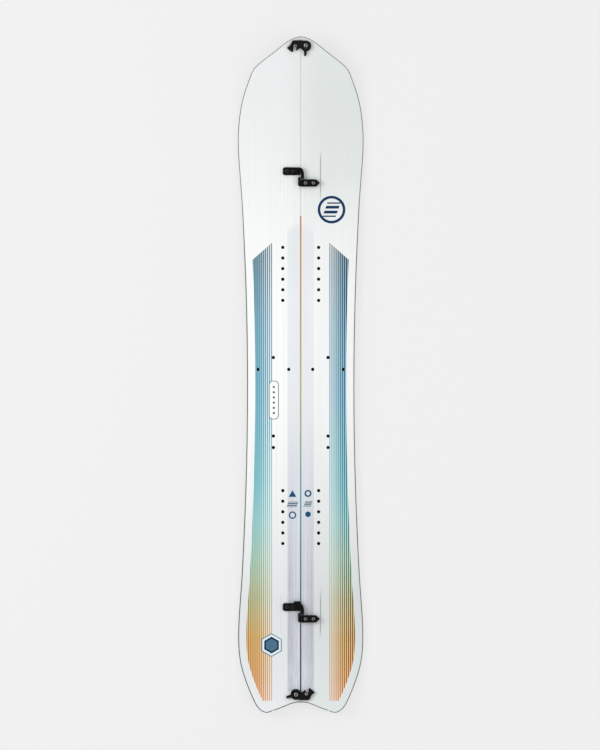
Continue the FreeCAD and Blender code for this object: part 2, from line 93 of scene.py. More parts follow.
class Mark(Enum):
    """The plain shapes that are printed on the topsheets."""

    RING = "ring"
    HEXAGON = "hexagon"
    TRIANGLE = "triangle"
    BARS = "bars"
    DOTS = "dots"
    PILL = "pill"


# ---------------------------------------------------------------- shaders
class Wire:
    """A number inside a shader; Python's operators on it add Math nodes."""

    def __init__(self, paint: "Nodes", socket: bpy.types.NodeSocket) -> None:
        """Keeps the socket and the nodes that it belongs to."""
        self.paint = paint
        self.socket = socket

    def __add__(self, other: "Wire | float") -> "Wire":
        """self + other."""
        return self.paint.maths("ADD", self, other)

    def __sub__(self, other: "Wire | float") -> "Wire":
        """self - other."""
        return self.paint.maths("SUBTRACT", self, other)

    def __rsub__(self, other: float) -> "Wire":
        """other - self."""
        return self.paint.maths("SUBTRACT", other, self)

    def __mul__(self, other: "Wire | float") -> "Wire":
        """self * other."""
        return self.paint.maths("MULTIPLY", self, other)

    def __truediv__(self, other: "Wire | float") -> "Wire":
        """self / other."""
        return self.paint.maths("DIVIDE", self, other)

    def __rtruediv__(self, other: float) -> "Wire":
        """other / self."""
        return self.paint.maths("DIVIDE", other, self)

    def __neg__(self) -> "Wire":
        """-self."""
        return self.paint.maths("MULTIPLY", self, -1.0)

    def __abs__(self) -> "Wire":
        """abs(self)."""
        return self.paint.maths("ABSOLUTE", self)

    def __floordiv__(self, other: float) -> "Wire":
        """self // other."""
        return self.paint.maths("FLOOR", self / other)

    __radd__ = __add__
    __rmul__ = __mul__

    def most(self, other: "Wire | float") -> "Wire":
        """The larger of two numbers."""
        return self.paint.maths("MAXIMUM", self, other)

    def root(self) -> "Wire":
        """The square root."""
        return self.paint.maths("SQRT", self)

    def rise(self, start: float, end: float) -> "Wire":
        """A smooth step from 0 to 1.

        Args:
            start: Where it is 0.
            end: Where it is 1, which may be below start.

        Returns:
            The step.
        """
        low, high, first, last = (start, end, 0.0, 1.0) if start < end else (end, start, 1.0, 0.0)
        return self.paint.node("ShaderNodeMapRange", {"interpolation_type": "SMOOTHSTEP"},
                               {"Value": self, "From Min": low, "From Max": high,
                                "To Min": first, "To Max": last})

    def above(self, edge: float, soft: float) -> "Wire":
        """1 above an edge and 0 below it, blended over soft to either side."""
        return self.rise(edge - soft, edge + soft)

    def below(self, edge: float, soft: float) -> "Wire":
        """1 below an edge and 0 above it, blended over soft to either side."""
        return self.rise(edge + soft, edge - soft)


def ink(red: int, green: int, blue: int, share: float = 1.0) -> Linear:
    """A printed colour as the linear colour that shaders take.

    Args:
        red: Red, 0 to 255.
        green: Green, 0 to 255.
        blue: Blue, 0 to 255.
        share: How much of the colour is left when it is darkened.

    Returns:
        Red, green, blue and an alpha of 1.
    """
    parts = [int(value * share) / 255 for value in (red, green, blue)]
    return (*(p / 12.92 if p <= 0.04045 else ((p + 0.055) / 1.055) ** 2.4 for p in parts), 1.0)


class Nodes:
    """A shader in the making: its nodes and the sockets that feed them."""

    def __init__(self, tree: bpy.types.NodeTree, shader: str, output: str) -> None:
        """Empties a tree and starts it again from its shader and output.

        Args:
            tree: The node tree.
            shader: The shader node's type.
            output: The output node's type.
        """
        self.tree = tree
        self.tree.nodes.clear()
        self.shader = self.tree.nodes.new(shader)
        end = self.tree.nodes.new(output)
        self.tree.links.new(self.shader.outputs[0], end.inputs[0])

    def node(self, kind: str, settings: dict | None = None, inputs: dict | None = None,
             output: int | str = 0) -> Wire:
        """Adds one node.

        Args:
            kind: The node's type.
            settings: Its properties, and "stops" for a colour ramp: pairs of place and colour.
            inputs: Values or wires by socket name or index.
            output: The socket to hand on.

        Returns:
            The chosen output.
        """
        made = self.tree.nodes.new(kind)
        for key, value in (settings or {}).items():
            if key == "stops":
                self._stops(made.color_ramp, value)
            else:
                setattr(made, key, value)
        for key, value in (inputs or {}).items():
            self.feed(made.inputs[key], value)
        return Wire(self, made.outputs[output])

    @staticmethod
    def _stops(ramp: bpy.types.ColorRamp, stops: Sequence[tuple[float, Linear]]) -> None:
        """Sets a colour ramp's stops.

        Args:
            ramp: The ramp.
            stops: Pairs of a place from 0 to 1 and a colour.
        """
        while len(ramp.elements) < len(stops):
            ramp.elements.new(1.0)
        for element, (place, colour) in zip(ramp.elements, stops):
            element.position = place
            element.color = colour

    def feed(self, socket: bpy.types.NodeSocket, value: object) -> None:
        """Links a wire to a socket, or sets the socket to a plain value.

        Args:
            socket: The socket.
            value: A wire, or what the socket holds.
        """
        if isinstance(value, Wire):
            self.tree.links.new(value.socket, socket)
        else:
            socket.default_value = value

    def fill(self, **sockets: object) -> None:
        """Feeds the shader's sockets; underscores stand for spaces."""
        for key, value in sockets.items():
            self.feed(self.shader.inputs[key.replace("_", " ")], value)

    def maths(self, operation: str, *values: "Wire | float") -> Wire:
        """One Math node on one or two numbers."""
        return self.node("ShaderNodeMath", {"operation": operation}, dict(enumerate(values)))

    def mix(self, factor: "Wire | float", first: object, second: object) -> Wire:
        """A colour between first and second."""
        return self.node("ShaderNodeMix", {"data_type": "RGBA"},
                         {0: factor, 6: first, 7: second}, 2)

    def axes(self, kind: str) -> list[Wire]:
        """One of the texture coordinates, taken apart.

        Args:
            kind: Which one.

        Returns:
            Its X, Y and Z.
        """
        apart = self.node("ShaderNodeSeparateXYZ",
                          inputs={0: self.node("ShaderNodeTexCoord", output=kind)})
        return [Wire(self, output) for output in apart.socket.node.outputs]


class Paint(Nodes):
    """One material in the making: a Principled shader and what feeds it."""

    def __init__(self, name: str) -> None:
        """Starts a material.

        Args:
            name: The finish, in a maker's words.
        """
        self.material = bpy.data.materials.new(name)
        self.material.use_nodes = True
        super().__init__(self.material.node_tree, "ShaderNodeBsdfPrincipled",
                         "ShaderNodeOutputMaterial")

    def place(self) -> list[Wire]:
        """Where the surface is, in millimetres from the frame's origin."""
        return [axis / MM for axis in self.axes("Object")]

    def attribute(self, name: str) -> Wire:
        """A number that the mesh carries."""
        return self.node("ShaderNodeAttribute", {"attribute_name": name}, output="Fac")

    def noise(self, scale: Triple, detail: float = 3.0) -> Wire:
        """A soft random pattern around 0.5.

        Args:
            scale: Waves a metre along X, Y and Z.
            detail: How many finer layers are added.

        Returns:
            The pattern.
        """
        where = self.node("ShaderNodeTexCoord", output="Object")
        stretched = self.node("ShaderNodeMapping", inputs={"Vector": where, "Scale": scale})
        return self.node("ShaderNodeTexNoise",
                         inputs={"Vector": stretched, "Scale": 1.0, "Detail": detail})

    def scale(self, y: Wire, stops: Stops) -> Wire:
        """A colour that changes along the board.

        Args:
            y: Along the board.
            stops: Pairs of a place in millimetres and a colour, from the tail up.

        Returns:
            The colour.
        """
        low, high = stops[0][0], stops[-1][0]
        ramp = [((place - low) / (high - low), ink(*colour)) for place, colour in stops]
        return self.node("ShaderNodeValToRGB", {"stops": ramp}, {0: (y - low) / (high - low)})

    def bump(self, height: Wire, depth: float) -> None:
        """Roughens the surface by height times depth metres."""
        self.fill(Normal=self.node("ShaderNodeBump", inputs={"Strength": 1.0, "Distance": depth,
                                                             "Height": height}))


# ---------------------------------------------------------------- finishes
class Finish(ABC):
    """A finish that can be made into a material."""

    @abstractmethod
    def apply(self, paint: Paint) -> None:
        """Feeds a material's shader.

        Args:
            paint: The material in the making.
        """

    def material(self, name: str) -> bpy.types.Material:
        """The finish as a material.

        Args:
            name: The material's name.

        Returns:
            The material.
        """
        paint = Paint(name)
        self.apply(paint)
        return paint.material


@dataclass(frozen=True)
class Moulded(Finish):
    """Plastic that was planed or moulded, with fine marks along the board."""

    colour: Colour
    roughness: float = 0.5
    marks: Triple = PLANED
    depth: float = 0.00003
    spread: float = 0.12

    def apply(self, paint: Paint) -> None:
        """Mottles the plastic and roughens it by its fine marks.

        Args:
            paint: The material in the making.
        """
        grain = paint.noise(self.marks)
        paint.bump(grain, self.depth)
        paint.fill(Base_Color=paint.mix(grain, ink(*self.colour, 0.82), ink(*self.colour)),
                   Roughness=grain * self.spread + (self.roughness - self.spread / 2))


@dataclass(frozen=True)
class SidewallPlastic(Finish):
    """Planed dark plastic along the rim, with a white plug in each tail lobe."""

    colour: Colour = (34, 34, 36)
    plug: Colour = (236, 238, 238)
    plug_middle: float = 66.8
    plug_half: float = 2.1
    plug_from: float = -701.0

    def apply(self, paint: Paint) -> None:
        """Planes the plastic and sets the plugs in it.

        Args:
            paint: The material in the making.
        """
        x, y, _ = paint.place()
        planed = paint.noise(PLANED)
        across = (self.plug_half - abs(abs(x) - self.plug_middle)).above(0.0, 0.1)
        plugged = across * y.below(self.plug_from, 1.0)
        dark = paint.mix(planed, ink(*self.colour, 0.75), ink(*self.colour))
        paint.bump(planed, 0.00003)
        paint.fill(Base_Color=paint.mix(plugged, dark, ink(*self.plug)),
                   Roughness=planed * 0.14 + 0.4)


@dataclass(frozen=True)
class Metal(Finish):
    """Turned, ground or anodised metal with a brushed grain; one with shaded sockets has painted
    shade down in its hexagon sockets.
    """

    colour: Colour
    metallic: float = 1.0
    roughness: float = 0.3
    grain: Triple = (1800.0, 1800.0, 250.0)
    clouds: Triple = (120.0, 120.0, 120.0)
    depth: float = 0.00001
    spread: float = 0.14
    gloss: float = 0.5
    shaded_sockets: bool = False
    socket_shade: Colour = (26, 25, 24)

    def apply(self, paint: Paint) -> None:
        """Brushes and clouds the metal, and paints shade down in its hexagon sockets if it has
        shaded sockets.

        Args:
            paint: The material in the making.
        """
        brushed = paint.noise(self.grain)
        cloudy = paint.noise(self.clouds, 2.0)
        tone = paint.mix(cloudy * 0.5 + brushed * 0.5, ink(*self.colour, 0.72), ink(*self.colour))
        if self.shaded_sockets:
            # Painted shade down in the hexagon sockets.
            tone = paint.mix(paint.attribute("recess"), tone, ink(*self.socket_shade))
        paint.bump(brushed, self.depth)
        paint.fill(Base_Color=tone, Metallic=self.metallic, Specular_IOR_Level=self.gloss,
                   Roughness=brushed * self.spread + cloudy * 0.08 + (self.roughness - 0.1))


@dataclass(frozen=True)
class GlassFibre(Finish):
    """Resin over crossed glass fibres."""

    colour: Colour = (206, 208, 176)
    bundle: float = 2.4
    depth: float = 0.00008

    def apply(self, paint: Paint) -> None:
        """Crosses two sets of fibre bundles under the resin.

        Args:
            paint: The material in the making.
        """
        x, y, _ = paint.place()
        warp = paint.maths("SINE", (x + y) * (math.tau / self.bundle))
        weft = paint.maths("SINE", (x - y) * (math.tau / self.bundle))
        weave = warp * weft * 0.5 + 0.5
        paint.bump(weave, self.depth)
        paint.fill(Base_Color=paint.mix(weave, ink(*self.colour, 0.8), ink(*self.colour)),
                   Roughness=weave * 0.1 + 0.28, Coat_Weight=0.4)


@dataclass(frozen=True)
class WoodCore(Finish):
    """Poplar strips glued side by side, with the grain along the board."""

    strip: float = 14.0
    fibres: Triple = (420.0, 9.0, 420.0)
    depth: float = 0.00015
    dark: Colour = (176, 138, 92)
    pale: Colour = (222, 190, 142)
    glue: Colour = (110, 80, 50)

    def apply(self, paint: Paint) -> None:
        """Lays the strips, each in its own tone, with dark glue lines between them.

        Args:
            paint: The material in the making.
        """
        x, _, _ = paint.place()
        grain = paint.noise(self.fibres, 5.0)
        strip = x // self.strip
        tone = paint.maths("FRACT", strip * 0.618)
        joint = abs(x / self.strip - strip - 0.5).rise(0.47, 0.5)
        wood = paint.mix(grain * 0.6 + tone * 0.4, ink(*self.dark), ink(*self.pale))
        paint.bump(grain, self.depth)
        paint.fill(Base_Color=paint.mix(joint * 0.6, wood, ink(*self.glue)),
                   Roughness=grain * 0.2 + 0.5)


@dataclass(frozen=True)
class GroundBase(Finish):
    """Sintered running base with the stone grinder's fine lengthwise structure."""

    pitch: float = 0.8
    drift: Triple = (30.0, 4.0, 30.0)
    breaks: Triple = (500.0, 60.0, 500.0)
    patches: Triple = (12.0, 2.0, 12.0)
    depth: float = 0.00006
    dark: Colour = (20, 34, 48)
    pale: Colour = (40, 58, 74)
    worn: Colour = (70, 88, 100)

    def apply(self, paint: Paint) -> None:
        """Grinds broken grooves along the board over faint patches.

        Args:
            paint: The material in the making.
        """
        x, _, _ = paint.place()
        wander = x + paint.noise(self.drift, 2.0) * 2.0
        groove = paint.maths("SINE", wander * (math.tau / self.pitch)) * 0.5 + 0.5
        broken = groove * paint.noise(self.breaks)
        tone = paint.mix(paint.noise(self.patches, 2.0), ink(*self.dark), ink(*self.pale))
        paint.bump(broken, self.depth)
        paint.fill(Base_Color=paint.mix(broken, tone, ink(*self.worn)),
                   Roughness=broken * 0.2 + 0.38)


@dataclass(frozen=True)
class Decal:
    """One plain printed mark: its shape, middle and half size in millimetres, and its colour."""

    mark: Mark
    at: Span
    size: Span
    colour: Colour
    line: float = 0.0
    steep: float = 0.866
    bar_share: float = 0.29
    bar_lean: float = 0.35
    pill_round: float = 0.8

    def turn(self, along: Wire) -> Wire:
        """Where a point is in its own bar or dot of the row, from -0.5 to 0.5."""
        return along / self.line - along // self.line - 0.5

    def reach(self, x: Wire, y: Wire) -> Wire:
        """How far outside the mark a point is, in millimetres; inside it is below 0.

        Args:
            x: Across the board.
            y: Along the board.

        Returns:
            The distance.
        """
        wide, high = self.size
        u = x - self.at[0]
        v = y - self.at[1]
        if self.mark is Mark.RING:
            return abs((u * u + v * v).root() - wide) - self.line
        if self.mark is Mark.HEXAGON:
            return (abs(v) * self.steep + abs(u) * 0.5).most(abs(u)) - wide
        if self.mark is Mark.TRIANGLE:
            return (abs(u) * self.steep + v * 0.5).most(-v) - wide
        if self.mark is Mark.BARS:
            stripe = abs(self.turn(v)) * self.line - self.line * self.bar_share
            lean = u - v * self.bar_lean
            return stripe.most((abs(lean) - wide).most(abs(v) - high))
        if self.mark is Mark.DOTS:
            off = self.turn(v) * self.line
            return ((u * u + off * off).root() - wide).most(abs(v) - high)
        corner = wide * self.pill_round
        over_u = (abs(u) - (wide - corner)).most(0.0)
        over_v = (abs(v) - (high - corner)).most(0.0)
        solid = (over_u * over_u + over_v * over_v).root() - corner
        return abs(solid) - self.line if self.line else solid


NAVY = (12, 52, 92)
SLATE = (70, 84, 98)
TEAL = (14, 78, 112)
# The marks on each half.
MARKS: dict[Side, tuple[Decal, ...]] = {
    Side.LEFT: (
        Decal(Mark.PILL, (-64.4, -59.9), (11.4, 46.0), (250, 252, 252)),
        Decal(Mark.PILL, (-64.4, -59.9), (11.0, 45.6), SLATE, 0.85),
        Decal(Mark.DOTS, (-64.4, -59.9), (2.7, 37.0), SLATE, 12.4),
        *(Decal(Mark.HEXAGON, (-70.0, -648.0), (half, half), colour) for half, colour in
          ((24.6, (44, 96, 130)), (23.0, (206, 224, 234)), (20.6, (236, 242, 244)),
           (17.6, (10, 36, 62)), (13.6, (74, 112, 138)))),
        Decal(Mark.TRIANGLE, (-19.7, -287.0), (5.4, 5.4), TEAL),
        Decal(Mark.BARS, (-19.7, -310.2), (12.0, 6.6), TEAL, 4.4),
        Decal(Mark.RING, (-19.7, -336.0), (7.4, 7.4), TEAL, 1.6)),
    Side.RIGHT: (
        Decal(Mark.RING, (74.0, 397.0), (30.0, 30.0), NAVY, 3.2),
        Decal(Mark.BARS, (74.0, 397.0), (16.0, 17.5), NAVY, 11.66),
        Decal(Mark.RING, (17.5, -284.0), (6.6, 6.6), TEAL, 1.9),
        Decal(Mark.BARS, (17.5, -309.0), (8.6, 6.6), TEAL, 4.4),
        Decal(Mark.HEXAGON, (17.5, -334.0), (6.4, 6.4), TEAL)),
}
# The white ground from the tail up, with painted light and shade: the left half lighter, the right
# half a little greyer, and both darker towards the nose and tail.
LIT_AND_SHADED_GROUND_INKS: dict[Side, Stops] = {
    Side.LEFT: ((-810, (232, 235, 236)), (-700, (228, 232, 233)), (-540, (226, 229, 230)),
                (-300, (242, 244, 243)), (-60, (251, 252, 251)), (180, (250, 251, 251)),
                (324, (246, 248, 247)), (480, (240, 242, 241)), (660, (235, 237, 237)),
                (810, (232, 235, 235))),
    Side.RIGHT: ((-810, (224, 229, 229)), (-700, (220, 225, 225)), (-540, (215, 219, 219)),
                 (-300, (233, 235, 234)), (-60, (244, 246, 245)), (180, (244, 246, 245)),
                 (324, (240, 242, 241)), (480, (226, 230, 229)), (660, (221, 226, 224)),
                 (810, (224, 229, 228))),
}
# The stripes' ink from the tail up; the right half is printed deeper.
STRIPE_INKS: dict[Side, Stops] = {
    Side.LEFT: ((-782, (214, 112, 44)), (-732, (202, 112, 26)), (-636, (192, 126, 22)),
                (-540, (142, 148, 80)), (-444, (116, 176, 154)), (-348, (108, 186, 192)),
                (-252, (74, 172, 186)), (-156, (54, 158, 180)), (-60, (48, 144, 178)),
                (36, (50, 138, 172)), (132, (52, 130, 164)), (228, (54, 110, 138)),
                (290, (54, 88, 110)), (318, (50, 72, 88))),
    Side.RIGHT: ((-782, (206, 100, 34)), (-732, (182, 94, 28)), (-636, (148, 88, 12)),
                 (-540, (106, 102, 38)), (-444, (72, 134, 116)), (-348, (54, 144, 150)),
                 (-252, (32, 134, 154)), (-156, (28, 120, 150)), (-60, (24, 106, 146)),
                 (36, (22, 98, 140)), (132, (20, 80, 126)), (228, (20, 62, 98)),
                 (290, (18, 46, 72)), (318, (24, 46, 66))),
}
# The pale tint between the stripes, from the tail up.
WASH_INKS: Stops = (
    (-782, (236, 212, 178)), (-732, (230, 204, 156)), (-636, (230, 208, 150)),
    (-540, (222, 218, 190)), (-444, (214, 226, 208)), (-348, (190, 222, 220)),
    (-252, (168, 214, 218)), (-60, (160, 206, 216)), (132, (158, 200, 210)),
    (290, (156, 188, 198)), (318, (162, 186, 194)))
# The grey band along the seam, from the tail up.
BAND_INKS: Stops = (
    (-760, (188, 193, 203)), (-640, (182, 185, 194)), (-540, (180, 182, 190)),
    (-400, (194, 197, 206)), (-250, (212, 215, 223)), (-60, (232, 235, 238)),
    (180, (237, 239, 242)), (300, (228, 233, 234)), (372, (232, 236, 237)))
# The coloured line at the seam, from the tail up.
SEAM_INKS: Stops = (
    (-700, (10, 16, 24)), (-640, (16, 34, 48)), (-540, (20, 84, 110)),
    (-300, (58, 150, 160)), (-110, (156, 170, 104)), (20, (178, 166, 66)),
    (180, (190, 138, 10)), (300, (196, 134, 10)), (382, (190, 110, 10)))
# How strongly the rim's hairline shows on each half, and the painted shade along the steps beside
# the raised clip seats, stronger on the right half.
HAIRLINE_SHARE = {Side.LEFT: 0.9, Side.RIGHT: 0.6}
PAINTED_STEP_SHADE_SHARE = {Side.LEFT: 0.1, Side.RIGHT: 0.5}


@dataclass(frozen=True)
class PrintedTopsheet(Finish):
    """White topsheet: graded stripes along the rim, a grey band and a coloured line at the seam.

    Sizes are in millimetres. A pair is where something starts and ends, in that order.
    """

    side: Side
    soft: float = 0.3
    streaks: Triple = (300.0, 1.6, 300.0)
    fine: Triple = (1400.0, 14.0, 1400.0)
    depth: float = 0.00004
    lit_to_shaded_change: Span = (-60.0, 60.0)
    first_stripe: float = 69.9
    pitch: float = 4.98
    rim_margin: float = 19.7
    stripe_top: float = 316.6
    stripe_slope: float = -0.875
    stripe_foot: float = -781.0
    thin: float = 2.0
    growth: float = 0.055
    deepening: Span = (66.0, 104.0)
    fading: Span = (20.0, -240.0)
    stripe_shade: Colour = (0, 24, 36)
    band_half: float = 31.6
    band_top: float = 372.0
    band_foot: float = -758.0
    band_arch: float = 16.0
    band_end: float = 22.0
    band_light: Span = (27.0, 6.0)
    line_half: float = 1.65
    hairline: float = 2.5
    hairline_fade: Span = (480.0, 240.0)
    painted_step_shade: float = 47.4
    painted_step_shade_fade: Span = (62.0, 30.0)
    seats: Span = (478.0, -574.0)

    def ground(self, paint: Paint, x: Wire, y: Wire, streak: Wire, fine: Wire) -> Wire:
        """The white field with its lengthwise streaks and its painted light and shade.

        Args:
            paint: The material in the making.
            x: Across the board.
            y: Along the board.
            streak: Long soft streaks.
            fine: Fine short streaks.

        Returns:
            The colour.
        """
        # Painted light and shade: the left half's lighter inks give way to the right half's darker
        # ones across the seam.
        white = paint.mix(x.rise(*self.lit_to_shaded_change),
                          *(paint.scale(y, LIT_AND_SHADED_GROUND_INKS[side]) for side in Side))
        white = paint.mix(streak.rise(0.42, 0.8) * 0.3, white, ink(214, 222, 224))
        return paint.mix(fine.rise(0.55, 0.8) * 0.12, white, ink(190, 200, 204))

    def stripes(self, paint: Paint, x: Wire, y: Wire, under: Wire) -> Wire:
        """Prints the stripes over the colour under them.

        Args:
            paint: The material in the making.
            x: Distance from the seam.
            y: Along the board.
            under: The colour beneath.

        Returns:
            The colour with the stripes on it.
        """
        inset = paint.attribute("rim_inset")
        turn = (x - (self.first_stripe - self.pitch / 2)) / self.pitch
        count = turn // 1.0
        off = abs(turn - count - 0.5) * self.pitch
        line = (count * self.growth + self.thin / 2 - off).above(0.0, 0.2)
        roof = (x - self.first_stripe) * self.stripe_slope + self.stripe_top
        zone = (inset.above(self.rim_margin, self.soft) * x.above(self.first_stripe - 1.2, 0.2)
                * (roof - y).above(0.0, 0.5) * (y - self.stripe_foot).above(0.0, 0.5))
        outer = x.rise(*self.deepening)
        colour = paint.mix(outer, paint.scale(y, STRIPE_INKS[Side.LEFT]),
                           paint.scale(y, STRIPE_INKS[self.side]))
        wash = paint.scale(y, WASH_INKS)
        faint = (1.0 - outer) * (y.rise(*self.fading) * 0.34 + 0.1)
        drawn = paint.mix(faint, paint.mix(0.08, colour, ink(*self.stripe_shade)), wash)
        washed = paint.mix(zone * (outer * 0.8 + 0.18), under, wash)
        return paint.mix(zone * line, washed, drawn)

    def band(self, paint: Paint, x: Wire, y: Wire, streak: Wire, under: Wire) -> Wire:
        """Prints the grey band along the seam, with its round top end.

        Args:
            paint: The material in the making.
            x: Distance from the seam.
            y: Along the board.
            streak: Long soft streaks.
            under: The colour beneath.

        Returns:
            The colour with the band on it.
        """
        lighter = x.rise(*self.band_light) * 0.3 + streak.rise(0.3, 0.75) * 0.45
        grey = paint.mix(lighter, paint.scale(y, BAND_INKS), ink(228, 231, 236))
        arch = y + x * x * x * x * (self.band_arch / self.band_half ** 4)
        inside = (x.below(self.band_half, 0.8) * y.above(self.band_foot, 2.0)
                  * arch.rise(self.band_top, self.band_top - self.band_end))
        return paint.mix(inside, under, grey)

    def seam_line(self, paint: Paint, x: Wire, y: Wire, under: Wire) -> Wire:
        """Prints the coloured line at the seam and the shade of the seam's broken edge.

        Args:
            paint: The material in the making.
            x: Distance from the seam.
            y: Along the board.
            under: The colour beneath.

        Returns:
            The colour with the line on it.
        """
        shaded = paint.mix(x.rise(1.1, 0.3) * 0.45, under, ink(110, 114, 116))
        on_line = (x.below(self.line_half, 0.25) * y.below(self.band_top + 10.0, 2.0)
                   * y.rise(self.band_foot - 6.0, self.band_foot))
        return paint.mix(on_line, shaded, paint.scale(y, SEAM_INKS))

    def hairline_and_painted_step_shade(self, paint: Paint, x: Wire, y: Wire, under: Wire) -> Wire:
        """Prints the rim's dark hairline and the painted shade along the steps beside the raised
        clip seats.

        Args:
            paint: The material in the making.
            x: Distance from the seam.
            y: Along the board.
            under: The colour beneath.

        Returns:
            The colour with both on it.
        """
        hairline = (paint.attribute("rim_inset").below(self.hairline, 0.2)
                    * HAIRLINE_SHARE[self.side] * (y.rise(*self.hairline_fade) * 0.7 + 0.3))
        rimmed = paint.mix(hairline, under, ink(54, 55, 56))
        # Painted shade along the step at the edge of each raised clip seat.
        seat = sum(abs(y - middle).rise(*self.painted_step_shade_fade) for middle in self.seats)
        painted_step_shade = (1.2 - abs(x - self.painted_step_shade)).above(0.0, 0.8) * seat * PAINTED_STEP_SHADE_SHARE[self.side]
        return paint.mix(painted_step_shade, rimmed, ink(96, 102, 106))

    def apply(self, paint: Paint) -> None:
        """Prints the ground, stripes, band, marks, seam line, rim hairline and painted step shade,
        in that order.

        Args:
            paint: The material in the making.
        """
        x, y, _ = paint.place()
        off_seam = abs(x)
        streak = paint.noise(self.streaks, 4.0)
        fine = paint.noise(self.fine, 2.0)
        printed = self.ground(paint, x, y, streak, fine)
        printed = self.stripes(paint, off_seam, y, printed)
        printed = self.band(paint, off_seam, y, streak, printed)
        for decal in MARKS[self.side]:
            edge = decal.reach(x, y).below(0.0, self.soft)
            printed = paint.mix(edge, printed, ink(*decal.colour))
        printed = self.seam_line(paint, off_seam, y, printed)
        printed = self.hairline_and_painted_step_shade(paint, off_seam, y, printed)
        paint.bump(fine * 0.6 + streak * 0.4, self.depth)
        paint.fill(Base_Color=printed, Roughness=fine * 0.12 + 0.3, Specular_IOR_Level=0.3)


FINISHES = {
    "base_sheet": GroundBase(), "core": WoodCore(), "glass": GlassFibre(),
    "edge": Metal((150, 152, 155), roughness=0.34, grain=(400.0, 2600.0, 400.0)),
    "spacer": Moulded((214, 216, 216), 0.45),
    "sidewall": SidewallPlastic(),
    "insert": Metal((46, 46, 48), roughness=0.42),
    "anodised": Metal((9, 9, 10), metallic=0.1, roughness=0.42, grain=(900.0, 900.0, 900.0),
                      depth=0.00004, gloss=0.22),
    "pad": Moulded((22, 22, 23), 0.6, (1500.0, 1500.0, 1500.0)),
    "blackened": Metal((44, 44, 46), roughness=0.36),
    # The screws' hexagon sockets get painted shade.
    "stainless": Metal((206, 202, 194), roughness=0.3, shaded_sockets=True),
    "worn": Metal((84, 82, 78), roughness=0.36),
    "oxidised": Metal((96, 94, 90), roughness=0.4, shaded_sockets=True),
}


# ---------------------------------------------------------------- shapes read from the frame
@dataclass(frozen=True)
class Arc:
    """A circle in the board's side view."""

    y: float
    z: float
    radius: float
    hollow: bool

    @classmethod
    def through(cls, points: Sequence[Span]) -> "Arc":
        """The circle through three points.

        Args:
            points: Three pairs of y and z.

        Returns:
            The circle, hollow where its centre lies above the points.
        """
        (ay, az), (by, bz), (cy, cz) = points
        d = 2 * (ay * (bz - cz) + by * (cz - az) + cy * (az - bz))
        a, b, c = (y * y + z * z for y, z in points)
        y = (a * (bz - cz) + b * (cz - az) + c * (az - bz)) / d
        z = (a * (cy - by) + b * (ay - cy) + c * (by - ay)) / d
        return cls(y, z, math.hypot(ay - y, az - z), z > az)

    def height(self, y: float, lift: float) -> float:
        """Z of the surface that lies a little above this one.

        Args:
            y: Along the board.
            lift: How far above.

        Returns:
            Z at y.
        """
        radius = self.radius - lift if self.hollow else self.radius + lift
        rise = math.sqrt(radius ** 2 - (y - self.y) ** 2)
        return self.z - rise if self.hollow else self.z + rise

    def tilt(self, y: float) -> float:
        """The surface's turn about X at y."""
        return math.asin((y - self.y) / self.radius) * (1 if self.hollow else -1)


def merged(node: str) -> bmesh.types.BMesh:
    """Copies a CAD node's mesh and joins its loose triangles.

    Args:
        node: The node.

    Returns:
        The copy.
    """
    mesh = bmesh.new()
    mesh.from_mesh(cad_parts[node].data)
    bmesh.ops.remove_doubles(mesh, verts=mesh.verts, dist=1e-6)
    return mesh


